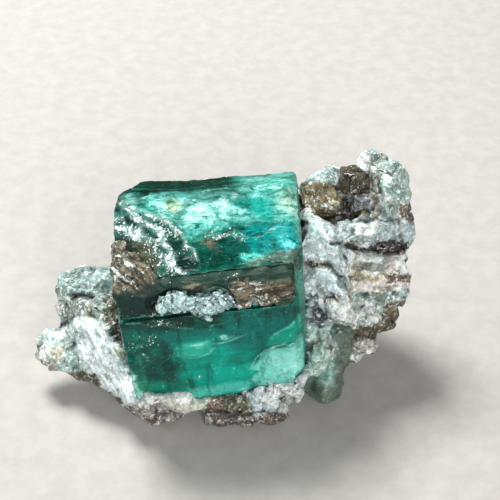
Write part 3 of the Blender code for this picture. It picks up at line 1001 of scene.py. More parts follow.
TOP_MARKS = (
    # the top face: milk over turquoise, partly painted highlight from the light above, and dark windows
    # below it
    area("50b4a9", .35, (-9, 5.6), (-2.4, 6.6), (-.4, 4.5), (2.8, 4.5), (4.4, 5.3), (7.2, 5.8), (13, 5.4),
         (13, 10.5), (-9, 10.5), soft=.7, milk=.45),
    # pale milk near the top edge: partly milky beryl, partly painted highlight
    area("74c6bb", .2, (-4, 7), (-.5, 6), (3.5, 6.3), (7.4, 6.6), (8, 9.2), (-4.2, 9.4), soft=.9, ragged=.6,
         rough=.35, milk=.75),
    area("76beb3", .15, (-1.6, 6.8), (3.6, 6.6), (5.4, 7.6), (4.4, 9), (-1.2, 9), soft=.8, ragged=.6,
         rough=.4, milk=.8),
    area("1fb5a8", .55, (4.9, 7.2), (7, 6.9), (9.4, 6), (9.8, 7.2), (8.2, 8.6), (5.6, 8.6), soft=.4,
         ragged=.6, milk=.15),
    area("0d5a50", .7, (-8.6, 8.9), (-7.4, 6.9), (-6.6, 6.9), (-5.6, 8.8), (-6.4, 10.4), (-8.4, 10.4),
         soft=.6, milk=.2),
    area("279c8e", .5, (-6.6, 8.6), (-4.2, 7.2), (-3.2, 7.8), (-4.8, 10.2), (-7, 10.4), soft=.6, milk=.5),
    # small white spots: partly milk, partly painted highlight
    area("e9fbf8", .05, (5, 9), width=.4, soft=.3, amount=.7, milk=1),
    area("e9fbf8", .05, (3.9, 7.9), width=.3, soft=.3, amount=.7, milk=1),
    area("c2cda0", .1, (-2.4, 8.2), (-1.4, 7.6), (-.8, 8.2), (-1.6, 9), width=.3, soft=.6, amount=.7,
         milk=.6),
    area("94814a", .05, (-2.1, 7.9), width=.22, soft=.3, amount=.8, milk=.2),
    area("b5d6c2", .12, (10, 9.6), (10.2, 6.8), (12.4, 5.8), (12.4, 9.8), soft=.8, amount=.8, milk=.5),
    # dark green windows
    area("075d50", .65, (-.9, 3.8), (1, 4.1), (2.8, 4.3), (4, 4.9), (5.4, 5.3), (6.8, 5.2), (6.8, 3.4),
         (5.8, .6), (2.3, .2), (-.9, .6), soft=.3, ragged=.7, rough=.15, milk=.12),
    area("0a8f8c", .5, (5.6, 5.2), (8, 5.6), (9.4, 4.2), (8.8, 1.8), (6.6, 1.6), (5.6, 3.4), soft=.4,
         ragged=.6, rough=.15, milk=.2),
    area("229c9c", .35, (9.4, 5.4), (11.8, 5.2), (12.2, .9), (9.6, 1), (9.2, 3.2), ragged=.5, rough=.25,
         milk=.3),
    area("35bcc4", .3, (10.6, 3.2), (11.6, 2.6), (11.8, 1), (10.4, 1.1), soft=.35, ragged=.5, milk=.6),
    area("3fc0b4", .3, (5.4, 2.2), (7.4, 2), (9.2, 2.2), (9, 1.2), (5.8, 1), soft=.4, ragged=.5, milk=.6),
    area("566b60", .3, (5.6, 1), (8, 1.3), (12.4, 2), (12.4, -.4), (5.2, -.4), soft=.4, ragged=.5, rough=.4,
         milk=.3),
    area("205044", .5, (7.2, .9), (9.4, 1.1), (9.4, .1), (7, 0), soft=.3),
    area("5c4a34", .1, (1, 4.2), (2.6, 3.9), (3.2, 2.8), (2.4, 2.7), (1.2, 3.2), width=.05, soft=.45,
         broken=.5, ragged=.6, streak=1, amount=.9, vein=.25),
    line("3d7468", .3, .22, (1.8, 5.2), (2.2, 4.5), (3.1, 4.2), soft=.35, crumb=.3, vein=.75, streak=1,
         ragged=.6),
    line("3d8a7e", .3, .25, (4.4, 4.9), (5.2, 4.2), (5.6, 3.6), soft=.4, crumb=.3, vein=.75, streak=1,
         ragged=.6),
    area("0a483e", .7, (-.9, 2.6), (.2, 2.6), (.6, .8), (-.6, .6), soft=.4, rough=.2, vein=.3),
    # the crumbled left end: white veins with dark windows between them
    area("1d4f45", .3, (-8.9, 7.6), (-6.8, 7.2), (-3.6, 7.2), (-1.4, 6), (-.2, 3.4), (-.2, .4), (-4, -.4),
         (-8.9, -.4), ragged=.6, rough=.45, vein=.48, crumb=.25),
    area("4a4636", .05, (-8.6, 4.9), (-6.2, 5.2), (-4.4, 4), (-3.6, 1.4), (-5, -.4), (-9, -.4), ragged=.7,
         rough=.6, vein=.4, crumb=.35, streak=1),
    area("0a463c", .7, (-5.6, 6.6), (-4.2, 5.6), (-3.6, 4.6), (-4.6, 4.4), (-5.6, 5.4), width=.1, soft=.3,
         rough=.2, vein=.15, streak=1),
    area("083a32", .7, (-2.2, 4.2), (-1.2, 4.2), (-1, 3.2), (-2, 3), width=.15, soft=.35, rough=.2,
         vein=.15, streak=1),
    area("083a32", .7, (-1.6, 2.2), (-.5, 2), (-.5, .8), (-1.6, 1), width=.15, soft=.35, rough=.2, vein=.2,
         streak=1),
    area("0a4238", .6, (-7.4, 7), (-5.6, 7), (-6.2, 6.4), (-7.6, 6.4), width=.1, soft=.3, rough=.25,
         vein=.2, streak=1),
    vein("8fb3aa", .2, (-7.8, 9.2), (-6.9, 8.4), (-5.7, 7), (-4.5, 6.1), (-3.6, 5.3), lift=.08, crumb=.8,
         vein=.95),
    vein("8fb3aa", .24, (-3.6, 5.3), (-2.9, 3.8), (-2.5, 2.4), (-1.7, 1.1), (-1, -.1), soft=.55, lift=.08,
         crumb=.8, vein=.9),
    vein("8fb3aa", .14, (-2.6, 6.6), (-1.4, 5.5), (-.6, 4.3), (-.3, 3), (.1, 1.6), soft=.45, lift=.06,
         crumb=.6, vein=.85),
    vein("8fb3aa", .3, (-8.9, 6.6), (-7.8, 5.8), (-6.8, 5), (-5.9, 4.9), lift=.08, crumb=.8, vein=.95),
    vein("8fb3aa", .12, (-6.1, 8.3), (-4.8, 7.4), (-3.5, 6.7), (-2.6, 6.6), soft=.45, lift=.06, crumb=.5,
         vein=.85),
    vein("7f9c92", .14, (-5.6, 5.6), (-4.6, 4.7), (-4, 3.3), (-3, 2), (-2.4, .7), lift=.06, crumb=.6,
         vein=.8),
    vein("7f9c92", .14, (-7.2, 9.2), (-6.6, 8), (-6.2, 6.7), (-5.4, 6), soft=.45, lift=.06, crumb=.6,
         vein=.8),
    vein("7f9c92", .1, (-8.8, 8.2), (-7.9, 7.4), (-7.2, 6.6), soft=.4, lift=.06, crumb=.5, vein=.8),
)
BACK_MARKS = (
    # the upper back face: dark teal, lighter to the right, with a worn pale rim
    area("0c2a21", .03, (-9, -.5), (7, -.5), (6, 9.5), (-9, 9.5), soft=1.2, ragged=.8, rough=1),
    area("37998c", .06, (5.2, -.5), (13, -.5), (13, 9.5), (6.4, 9.5), soft=1.6, ragged=1, milk=.45),
    line("5d968b", .1, .14, (-6.4, .1), (-2, 0), (2, .15), (6, 0), (12, .1), soft=.3, broken=.5, ragged=.5,
         rough=.5, milk=.8),
    line("3a5f55", .05, .2, (-8, 8.6), (0, 8.7), (12, 8.6), soft=.4, broken=.4, rough=1, crumb=.1, vein=.3),
)
FRONT_MARKS = (
    # the front face: deep green with veils, steps and clear panes, with painted highlights and glints along
    # steps and fractures
    area("047a70", .5, (-9, -.5), (13, -.5), (13, 13.9), (-9, 13.9), soft=.8, rough=.12, milk=.1),
    area("066054", .5, (-9.4, 9.4), (-3, 9), (-3.2, 2), (-5, -.5), (-9.4, -.5), soft=.7, rough=.14,
         milk=.2),
    area("033f3a", .5, (-5.1, 9.6), (-3.7, 9.4), (-3.6, 3.2), (-4.4, 2.4), (-5.2, 3.2), soft=.35, ragged=.3,
         streak=.5, amount=.6, milk=.15),
    area("054c42", .5, (-6.7, 8.4), (-6.1, 8.2), (-5.8, 2.4), (-6.3, 1.8), soft=.2, ragged=.25, streak=.5,
         amount=.8, milk=.1),
    area("1f8a72", .5, (-8.8, 5.8), (-7.2, 5.8), (-6.2, -.4), (-8.8, -.4), broken=.3, milk=.4),
    area("053f35", .5, (-8.6, 14), (-8.6, 12), (-1, 11.4), (2.6, 10.4), (2.6, 14), soft=.7, ragged=.6,
         rough=.2, milk=.1),
    area("06ab98", .42, (-3, 9.1), (1.8, 9.2), (4.4, 5.6), (4, 1), (-2.6, 1.2), soft=1.1, ragged=.7,
         milk=.15),
    area("0cc8b0", .4, (0, 6.2), (2.8, 6.4), (3.4, 2.6), (.6, 2.2), soft=1, ragged=.7, amount=.6, milk=.2),
    # painted highlight: the bright patches above the curved fracture, with a painted glint along its edge
    area("2fae96", .4, (-3, 8.9), (1.2, 9.2), (.7, 7.8), (-1, 7), (-3.1, 7.1), soft=.3, ragged=.3,
         amount=.8, lift=.05, milk=.35),
    area("56c9b4", .25, (-2.3, 8.9), (-.9, 9), (.3, 8.9), (-.6, 8.3), soft=.35, milk=.7),
    line("7fd3c2", .15, .05, (-3, 7), (-1.1, 6.8), (.2, 7.3), (.9, 7.9), soft=.13, ragged=.15, lift=.05,
         milk=.6),
    area("4fbda8", .3, (1.6, 9.6), (3, 9.9), (3.6, 9.2), (2.2, 8.8), soft=.3, milk=.75),
    # painted glint along the edge of a step
    line("8fd9cc", .1, .05, (1, 8.5), (2.4, 8.7), (4.1, 9.2), (5.9, 9.9), soft=.13, broken=.15, ragged=.15,
         streak=1, lift=.05, milk=.9),
    area("047a72", .45, (2.2, 10.6), (6, 12.2), (11.4, 13), (11.4, 10.8), (6, 9.6), (3, 9.4), milk=.08),
    line("1d9480", .35, .06, (1, 11.1), (5.5, 12.8), (10.7, 13.4), soft=.16, broken=.2, ragged=.2, milk=.5),
    line("3aa593", .3, .05, (6, 12.4), (6.5, 10.9), (6.7, 9.9), soft=.12, broken=.2, ragged=.2, milk=.4),
    area("0f8a74", .48, (-6.8, 3.4), (-2, 3.8), (-1.8, .3), (-6.8, .3), soft=.6, ragged=.5, amount=.8,
         milk=.25),
    area("06b29a", .42, (3.4, 6.4), (5.2, 6.6), (5.2, 3), (3.8, 2.6), soft=.7, ragged=.6, milk=.15),
    area("0fb8a0", .42, (6.9, 7.2), (7.4, 8.7), (10.8, 10.8), (11.3, 8.8), (10.9, 7.4), soft=.25, ragged=.3,
         lift=.05, milk=.25),
    # painted glint along the edge of the bright pane
    line("7fd3c2", .1, .05, (7.4, 8.8), (9.2, 9.7), (10.8, 10.8), (11.1, 9.6), soft=.14, broken=.2,
         ragged=.2, milk=.8),
    area("74d8c8", .25, (4.9, 2.2), (5.7, 3.5), (4.9, 4.1), (5.9, 5.9), (6.6, 6.7), (8.7, 7), (11.2, 7.2),
         (11.6, .4), (5, .4), soft=.25, ragged=.5, rough=.35, lift=.1, milk=.5),
    area("92e4d6", .2, (6.8, 5.2), (10.8, 6.6), (11.2, 3.2), (8.6, 2.6), soft=.9, ragged=.8, rough=.4,
         milk=.6),
    # painted highlight: a bright cyan spot; the next lines are painted glints along the pale patch's edges
    area("8feee2", .12, (10.2, 3.4), width=.8, soft=.6, ragged=.3, milk=.7),
    line("c9efe6", .05, .06, (7.6, 6.9), (8.8, 7.2), (9.6, 7), (11, 7.6), soft=.14, ragged=.2, crumb=.2,
         lift=.06, milk=1),
    line("8fd3c4", .1, .05, (4.9, 4.1), (5.9, 5.9), (6.6, 6.7), (7.7, 6.9), soft=.12, ragged=.15, lift=.05,
         milk=.8),
    line("5f9c8c", .2, .07, (-8, 13), (-6.3, 12.8), (-5.3, 12.3), (-3, 11.8), (-1.2, 11.3), soft=.14,
         broken=.1, ragged=.25, streak=1, rough=.5, crumb=.3, lift=.08, vein=.6),
    area("3d5a4c", .2, (-6.2, 13.4), (-4.6, 13.4), (-2.2, 12.4), (-2.6, 11.7), (-5.4, 12.4), ragged=.6,
         rough=.5, crumb=.5, vein=.5, streak=1),
    area("2f7a68", .2, (-7, 8.8), (-6.2, 8.4), (-6.4, 7.2), (-7, 7.4), soft=.4, ragged=.5, crumb=.2,
         vein=.5, streak=1),
    line("2f8a74", .3, .05, (-7.6, 8), (-7.2, 5.4), (-6.9, 2.6), (-6.6, .6), soft=.2, ragged=.2, streak=.6,
         milk=.4),
    area("7cc7b4", .2, (-11.2, 8.6), (-9.6, 8.6), (-8.9, 5.6), (-8.3, .6), (-11.2, .6), soft=.3, ragged=.35,
         rough=.4, milk=.55, streak=1),
    line("b4ded2", .1, .09, (-9.4, 7.6), (-8.9, 5), (-8.3, 2.4), (-7.7, .4), soft=.2, broken=.1, ragged=.3,
         streak=.6, milk=.8),
    area("1d7a68", .3, (-8.4, 11.2), (-5, 11), (-4.6, 9.4), (-8.4, 9.2), ragged=.5, crumb=.4, vein=.4,
         streak=1),
    area("4a4432", .1, (-4.6, 4.4), (-3.6, 4.3), (-3.7, 3.7), (-4.7, 3.8), soft=.3, broken=.4, amount=.7,
         vein=.2),
    area("6fc9b8", .1, (-1.7, .5), (.9, .5), (.9, 1.1), (-1.4, 1.1), soft=.3, ragged=.3, rough=.5, crumb=.3,
         vein=.6),
    area("4fb8a2", .2, (-1.2, 3.4), width=.25, soft=.3, crumb=.3, vein=.6),
    area("58d0bf", .3, (-2.6, 1.9), (4.6, 1.9), (4.6, .2), (-2.6, .2), soft=.6, ragged=.5, milk=.45),
)
EMERALD_MARKS = {Face.TOP: TOP_MARKS, Face.BACK: BACK_MARKS, Face.FRONT: FRONT_MARKS}


@dataclass(frozen=True)
class EmeraldFinish:
    """Clear green beryl with milky veils, white specks that are partly painted sparkle, and painted shade
    on the side faces.
    """

    absorption: Triple = (0.0, 0.85, 0.81)
    density: float = 260.0
    milk: Triple = tone("9ed6cd")

    def material(self) -> Material:
        """Builds the material.

        Returns:
            The material, whose tint, clear, rough, silk, milk and vein come from the piece.
        """
        shade = Shade("emerald_beryl")
        turn = (0.0, -LIE.rise, LIE.turn)
        even, along, across, woven = (shade.place(stretch, LIE.middle, turn) for stretch in (
            (1.0, 1.0, 1.0), (3.2, 1.0, 1.0), (1.0, 1.0, 5.0), (1.7, 1.0, 1.0)))
        streaks = along.noise(1.9, 8.0, 0.5)
        bands = across.noise(0.9, 5.0, 0.3)
        feathers = woven.noise(3.4, 8.0, 1.0)
        fine = even.noise(2.3, 8.0, 0.5)
        cloudy = even.noise(0.36, 6.0, 0.9)
        coarse = even.noise(0.55, 5.0, 0.4)
        torn = even.noise(2.0, 9.0, 1.2)
        flecks = even.warped(2.0, 0.4).noise(5.0, 3.0, 1.2)
        silk = shade.value("silk")
        smooth = silk.span(0, 1, 0.3, 1.0)
        tint = shade.colour("tint")
        dark = tint.mix(1.0, tone("438c80"), "MULTIPLY")
        tint = tint.mix(streaks.span(0.5, 0.34) * silk, dark)
        tint = tint.mix(bands.span(0.5, 0.36) * silk.span(0, 1, 0.6, 0.0), dark)
        tint = tint.mix(cloudy.span(0.5, 0.36, 0.0, 0.75) * smooth, dark)
        # painted shade: the side faces darker than the upward faces
        tint = tint.mix(silk.span(0, 1, 1.0, 0.0), tint.mix(1.0, tone("e0e4e2"), "MULTIPLY"))
        glow = tint.mix(1.0, tone("0c6a58"), "ADD")
        tint = tint.mix(cloudy.span(0.52, 0.7, 0.0, 0.5), glow)
        tint = tint.mix(feathers.span(0.5, 0.36, 0.0, 0.7) * smooth, dark)
        tint = tint.mix(feathers.span(0.55, 0.68, 0.0, 0.45), glow)
        wisps = streaks * 0.35 + fine * 0.25 + feathers * 0.4
        wisps = wisps + shade.value("milk") * cloudy.span(0.38, 0.6, 0.13, 0.25)
        veil = wisps.span(0.60, 0.72)
        tint = tint.mix(veil * 0.65, self.milk)
        tint = tint.mix(wisps.span(0.715, 0.77) * 0.55, tone("e6f8f4"))
        # white specks: partly white inclusions, partly painted sparkle
        drifts = silk.span(0, 1, 0.02, 0.0) + coarse.span(0.45, 0.65, -0.035, 0.02)
        specks_and_sparkle = (flecks + drifts).span(0.70, 0.73)
        tint = tint.mix(specks_and_sparkle, tone("dcf6f0"))
        crust = (torn + shade.value("vein") * 0.42).span(0.755, 0.785)
        tint = tint.mix(crust, shade.mix(fine.span(0.42, 0.6), tone("7f9d97"), tone("e6f1ef")))
        cloud = veil.most(specks_and_sparkle).most(crust)
        through = shade.value("clear") * cloud.span(0.0, 0.7, 0.62, 0.05)
        rough = shade.value("rough") + cloud.span(0.0, 1.0, 0.0, 0.3)
        shade.bump(streaks * silk.span(0, 1, 0.3, 0.9) + fine * 0.2 + crust * 1.1, 0.1, 0.7)
        shade.water(self.absorption, self.density)
        return shade.finish(Base_Color=tint, Transmission_Weight=through, Roughness=rough,
                            IOR=BERYL_IOR, Specular_IOR_Level=0.04)


@dataclass
class Emerald(Piece):
    """The main crystal."""

    node: str = "emerald_crystal"
    name: str = "emerald"
    grains: tuple[Scatter, ...] = (
        Scatter("emerald_crumbs", GrainForm.SUGAR, "crumb", 3.5, 0.06, 0.2, 180, 4,
                GrainFinish("vein_crumb", tone("f2f8f7"), 0.2), "feldspar_grains"),)
    cell: float = 0.165
    pane: float = 2.2
    mark_seed: int = 100
    striation: float = 0.035
    ledge: float = 0.10
    hollow: float = 0.11
    grit: float = 0.05
    bow: float = 0.8
    sag: float = 0.45
    corner_lift: float = 2.0

    def build(self) -> None:
        """Makes the crystal's mesh, with its marks, steps and striations."""
        mesh, points, normals = self.begin(self.cell, 1)
        own = LIE.own(points)
        points[:, 2] += self.rise(own)
        silk = ease(0.1, 0.5, normals[:, 2])
        end = ease(0.35, 0.75, np.abs(normals @ LIE.way((1, 0, 0))))
        tint = blend(np.tile(tone("0a6a55"), (len(own), 1)), end, tone("579386"))
        values = {name: np.full(len(own), start) for name, start in (
            ("clear", 0.55), ("rough", 0.22), ("crumb", 0.0), ("milk", 0.2), ("vein", 0.0))}
        values["clear"] -= 0.25 * end
        lift = np.zeros(len(own))
        seed = self.mark_seed
        for face, marks in EMERALD_MARKS.items():
            spots, near = self.on_face(own, normals, face)
            seen = near > 0
            for mark in marks:
                mask = np.zeros(len(own))
                mask[seen] = mark.mask(spots[seen], seed) * near[seen]
                tint = blend(tint, mask, tone(mark.colour))
                lift += mask * mark.lift
                for name in values:
                    values[name] = blend(values[name], mask, getattr(mark, name))
                seed += 1
        panes = Noise.cells(own * (0.35, 1.0, 1.0), self.pane, 21)
        tint *= 1.0 + 0.75 * ((panes.draw - 0.52) * (1.0 - silk) * ease(0.0, 0.15, panes.edge))[:, None]
        move_points(mesh, points + normals * (lift + self.relief(own, panes, values["clear"]))[:, None])
        wear(mesh, EmeraldFinish().material(), tint=tint, silk=silk, **values)

    def rise(self, own: Array) -> Array:
        """Bows the upper side, and lifts the front left corner.

        Args:
            own: the vertices in the emerald's own frame.

        Returns:
            How far each vertex rises.
        """
        u, back, up = own.T
        bow = self.bow * np.exp(-((u + 6.8) / 4.5) ** 2) - self.sag * ease(4.0, 9.0, u)
        crest = np.maximum(ease(7.0, 11.5, up), ease(3.0, 8.0, back) * ease(2.0, 6.0, up))
        return bow * crest + self.corner_lift * ease(-7.0, -10.6, u) * ease(-5.0, -9.0, up)

    @staticmethod
    def on_face(own: Array, normals: Array, face: Face) -> tuple[Array, Array]:
        """Finds the spots of the mesh that belong to a side face.

        Args:
            own: the vertices in the emerald's own frame.
            normals: the way they look.
            face: the face.

        Returns:
            Their (u, up) on the face, and how much each belongs to it.
        """
        up, off = face.spots(own)
        near = ease(1.5, 1.1, np.abs(off)) * ease(0.3, 0.62, normals @ LIE.way(face.way()))
        return np.column_stack([own[:, 0], up]), near

    def relief(self, own: Array, panes: Cells, clear: Array) -> Array:
        """Fine grooves along the axis, broken ledges and shallow hollows.

        Args:
            own: the vertices in the emerald's own frame.
            panes: the broken panes that they lie in.
            clear: how clear each is; milky places are rougher.

        Returns:
            How far each vertex moves out.
        """
        grooves = self.striation * Noise.soft(own * (0.16, 1.0, 1.0), 0.55, 11, 2)
        ledges = self.ledge * (panes.draw - 0.5) * ease(0.0, 0.2, panes.edge)
        dents = self.hollow * np.minimum(0.0, Noise.soft(own * (0.6, 1, 1), 2.4, 31, 3))
        return grooves + ledges + dents + self.grit * Noise.soft(own, 0.6, 41, 2) * (1.3 - clear)


# ---- the rock


@dataclass(frozen=True)
class Look:
    """How one mineral of the rock looks.

    relief is how broken its surface is, sugar how many loose grains it has, plates how many
    mica plates, and rough how matt it is.
    """

    light: str
    dark: str
    relief: float
    sugar: float
    plates: float
    rough: float


class Mineral(Enum):
    """The rock's minerals."""

    SUGAR = Look("f5fafa", "bccbcb", 0.75, 1.0, 0.0, 0.5)
    SILKY = Look("e4f1f3", "bccfd0", 0.15, 0.06, 0.0, 0.38)
    PEARL = Look("f1f6f5", "cfdcd8", 0.2, 0.12, 0.0, 0.4)
    FIBRE = Look("b2d0cf", "628786", 0.8, 0.4, 0.05, 0.5)
    MINT = Look("cbe4e1", "82a7a2", 0.7, 0.8, 0.05, 0.5)
    GREY = Look("c3d6da", "889fa4", 0.22, 0.05, 0.0, 0.3)
    DOME = Look("66736c", "56625b", 0.05, 0.0, 0.0, 0.3)
    ROSE = Look("f3efea", "cfc8c0", 0.4, 0.3, 0.0, 0.35)
    BROWN = Look("827559", "3f392a", 0.8, 0.2, 0.5, 0.5)
    OLIVE = Look("8a8a68", "3e402c", 0.9, 0.3, 0.5, 0.5)
    GOLD = Look("c2bc98", "847d56", 0.7, 0.5, 0.2, 0.45)
    BLACK = Look("3a3b38", "141516", 0.8, 0.15, 1.0, 0.4)
    CREAM = Look("e3e4da", "b0ad98", 0.3, 0.1, 0.0, 0.4)
    # dark brown: partly the stone's own colour, partly painted shade for the undersides where it lies
    MAUVE = Look("7b6b5e", "463a31", 0.6, 0.2, 0.0, 0.5)
    TAN = Look("87705a", "4b3c30", 0.4, 0.1, 0.0, 0.45)
    TEAL = Look("b9d0cb", "66887f", 0.9, 0.6, 0.2, 0.45)
    WAXY = Look("cbebe4", "95beb5", 0.3, 0.05, 0.0, 0.35)
    NAVY = Look("69788a", "232a38", 0.8, 0.4, 0.4, 0.35)
    PINK = Look("b9b4ae", "837b74", 0.5, 0.2, 0.0, 0.45)
    LIME = Look("c0c8ad", "8f9a7c", 0.2, 0.1, 0.0, 0.4)


M = Mineral
PLACES = {mineral: place for place, mineral in enumerate(Mineral)}


def of_each(pick: Callable[[Look], object]) -> Array:
    """What is picked from each mineral's look, in the minerals' own order."""
    return np.array([pick(mineral.value) for mineral in Mineral])


@dataclass(frozen=True)
class Zone:
    """A place in the rock where one mineral is common: its middle and radii."""

    mineral: Mineral
    middle: Triple
    radii: Triple
    amount: float = 1.0


ROCK_ZONES = (
    Zone(M.FIBRE, (-17, -3.2, 11.6), (4.2, 3.4, 2), 1.2),
    Zone(M.BLACK, (-17.6, -5.4, 11.2), (1.1, 0.9, 0.6), 1.5),
    Zone(M.PINK, (-20.3, -4, 9.4), (1.5, 1.8, 1.5)),
    Zone(M.DOME, (-18.25, -5.9, 10.2), (2, 1.9, 1.9), 1.8),
    Zone(M.LIME, (-16.8, -7.3, 10.4), (1.3, 1.5, 1.8), 1.1),
    Zone(M.SILKY, (-16.6, -9.2, 9.2), (2, 2.2, 2.2), 1.3),
    Zone(M.SILKY, (-15.2, -11.6, 7.6), (2.6, 2.6, 2.4), 1.3),
    Zone(M.SILKY, (-13, -14.2, 5.6), (2.6, 2.2, 2.6), 1.3),
    Zone(M.LIME, (-13, -11.8, 8.3), (1.1, 1.6, 1.3), 1.2),
    Zone(M.SUGAR, (-21.2, -8.8, 6.2), (2.8, 2.6, 2.2)),
    Zone(M.GOLD, (-20.6, -9.6, 6), (0.8, 0.8, 0.6), 1.6),
    Zone(M.PINK, (-18.5, -10.8, 3.2), (5, 3, 1.8), 1.2),
    Zone(M.OLIVE, (-14.4, -7.6, 10.4), (1.8, 2.2, 1.8)),
    Zone(M.TEAL, (-13.6, -6.6, 10.6), (1.6, 2.4, 1.6), 0.8),
    Zone(M.BROWN, (-13.1, -9.1, 8.2), (1.2, 1.4, 1.6)),
    Zone(M.SILKY, (-9.4, -16.2, 5.4), (2.8, 1.6, 1.3), 1.3),
    Zone(M.CREAM, (-5, -16.7, 4.6), (3.4, 1.8, 1.6), 1.3),
    Zone(M.CREAM, (-2.7, -15.8, 4.2), (2.2, 1.8, 1.4), 1.1),
    Zone(M.MAUVE, (-8.6, -15.8, 1.8), (4.2, 2.8, 2), 1.4),
    Zone(M.TAN, (-0.6, -16.4, 3.6), (2.2, 2, 1.6), 1.3),
    Zone(M.GREY, (4.6, -16.1, 4.9), (3.8, 2, 2.2), 0.9),
    Zone(M.BLACK, (2.4, -16.1, 4.8), (1.9, 1.6, 1.8), 0.75),
    Zone(M.SUGAR, (7, -15.9, 5.8), (2.4, 1.8, 2), 1.2),
    Zone(M.MAUVE, (4.6, -16, 1.2), (5.4, 2.6, 1.4), 1.3),
    Zone(M.SUGAR, (10.6, 3.2, 23), (3.4, 2.6, 1.6), 1.2),
    Zone(M.BLACK, (13.2, -0.8, 20.6), (2.4, 1.9, 1.8), 1.5),
    Zone(M.GOLD, (11.6, -4, 21.8), (1.8, 1.2, 1.2), 1.2),
    Zone(M.OLIVE, (12.4, -3.4, 21), (1.8, 1.2, 1.2)),
    Zone(M.GOLD, (16, -1.5, 21.6), (1.6, 1.2, 1), 1.1),
    Zone(M.MINT, (19.2, 0.4, 22.6), (3, 3, 2.8), 1.1),
    Zone(M.TEAL, (20, 1.2, 24), (1.2, 1.6, 1), 0.9),
    Zone(M.BROWN, (21.4, 0, 19.7), (1.6, 1.6, 1.2), 1.1),
    Zone(M.SUGAR, (16.8, -3, 19.2), (3.8, 1.8, 1.5), 1.3),
    Zone(M.BLACK, (17.2, -3.4, 17.2), (5, 1.9, 0.6), 1.4),
    Zone(M.ROSE, (17.6, -5, 15.2), (4.6, 2.8, 2.2), 1.2),
    Zone(M.MAUVE, (19.9, -5.4, 14.4), (1.6, 1.6, 1.2), 0.9),
    Zone(M.BROWN, (15.4, -5.3, 15.7), (1.9, 1.2, 0.8)),
    Zone(M.GREY, (10.2, -6.4, 20.4), (2.2, 2.6, 2.4), 1.3),
    Zone(M.GREY, (10.8, -9.6, 17.2), (2.4, 3, 2.6), 1.3),
    Zone(M.BROWN, (10.3, -7.8, 18.4), (1.8, 1.2, 0.5), 1.6),
    Zone(M.TEAL, (19.4, -7.2, 12.8), (2.2, 1.6, 1.3), 1.1),
    Zone(M.SUGAR, (14.6, -10.4, 13), (3, 2.6, 2.8), 1.1),
    Zone(M.BROWN, (18.4, -8.4, 9.4), (2.8, 2.2, 1.8)),
    Zone(M.PINK, (15.4, -9.4, 6.8), (2.6, 1.8, 1.4), 1.2),
    Zone(M.SUGAR, (15.3, -9.6, 4.6), (1.6, 1.4, 1.2)),
    Zone(M.NAVY, (10.6, -10.9, 13.8), (1.3, 1.5, 1.8), 1.3),
    Zone(M.MINT, (10.2, -13.6, 10.4), (1.9, 2.2, 3.4)),
)


@dataclass(frozen=True)
class Cleave:
    """A flat broken face of the rock: its middle, the way it looks, its radii and how flat."""

    middle: Triple
    way: Triple
    radii: Triple
    flat: float = 0.85

    def shape(self, points: Array) -> Array:
        """Draws the points near the face onto it.

        Args:
            points: the points.

        Returns:
            The moved points.
        """
        normal = np.array(self.way) / np.linalg.norm(self.way)
        offset = (points - self.middle) @ normal
        near = ease(1.25, 0.7, away(points, self.middle, self.radii))
        return points - (self.flat * near * ease(3.2, 1.8, np.abs(offset)) * offset)[:, None] * normal


@dataclass(frozen=True)
class Swell:
    """A place where the rock is pushed by a few tenths of a millimetre or more."""

    middle: Triple
    radii: Triple
    push: Triple

    def shape(self, points: Array) -> Array:
        """Pushes the points near the middle."""
        return points + ease(1.3, 0.3, away(points, self.middle, self.radii))[:, None] * self.push


ROCK_FORMS = (
    Swell((-4.2, -15.2, 2.2), (3.8, 2.4, 1.8), (0, -0.8, -1.9)),
    Swell((-11.6, -14.6, 2.6), (2, 2, 1.8), (0, -0.7, -0.2)),
    Swell((-11.6, -15, 4), (1.8, 1.8, 1.8), (0.3, -1.3, 1.4)),
    Swell((-10.2, -15, 3.2), (1.7, 1.8, 1.7), (0.4, -1, 1.3)),
    Swell((9.6, -3.4, 19.8), (2, 2.4, 2.2), (-0.4, 2, 1)),
    Swell((0.6, -15.4, 1.8), (2.6, 2.2, 1.6), (0, -0.6, -0.9)),
    Swell((19.6, -7.6, 8.6), (2.6, 2.6, 2.6), (-0.9, 0, 0.3)),
    Swell((9.8, -8, 15), (2.4, 4.5, 7), (-0.7, 0, 0)),
    Swell((-9.8, -15.4, 4.8), (2.6, 1.9, 1.9), (0, 0.1, 1.7)),
    Swell((-6.4, -16.2, 4.6), (2.8, 1.6, 1.6), (0, 0.1, 0.9)),
    Swell((5, -15.6, 5), (4.4, 1.8, 2), (0, -0.1, 1)),
    Swell((8.9, -14.6, 5.8), (1.8, 1.8, 2), (-0.4, -0.5, 1)),
    Cleave((-15, -11.9, 7.4), (-0.40, -0.79, 0.46), (3.6, 4.6, 4.6)),
    Cleave((-17.4, -3.4, 12.2), (-0.10, -0.35, 0.93), (3.6, 2.8, 1.6), 0.6),
    Cleave((-17.6, -11.6, 3.6), (-0.35, -0.62, -0.70), (4.2, 3, 2.2), 0.7),
    Cleave((10.2, -6.6, 20.4), (-0.25, -0.70, 0.67), (2.2, 2.6, 2.6)),
    Cleave((10.9, -9.9, 16.9), (-0.30, -0.80, 0.52), (2.2, 2.4, 2.6)),
    Cleave((16.9, -3.9, 18.7), (0.05, -0.93, 0.36), (3.6, 1.6, 1.3)),
    Cleave((16.9, -2.6, 19.9), (0, -0.25, 0.97), (3.6, 1.7, 1.2), 0.7),
    Cleave((19.8, -0.6, 23), (0.35, -0.62, 0.70), (2.4, 2.4, 2.4), 0.7),
    Cleave((17.4, -6.4, 14.8), (0.10, -0.85, 0.52), (3.6, 1.8, 2), 0.5),
    Cleave((17.2, -9, 8.6), (0.30, -0.80, -0.50), (3.4, 2.2, 2.2), 0.6),
    Cleave((-5.4, -17, 4.2), (0, -0.86, 0.50), (4, 1.4, 1.3), 0.6),
)


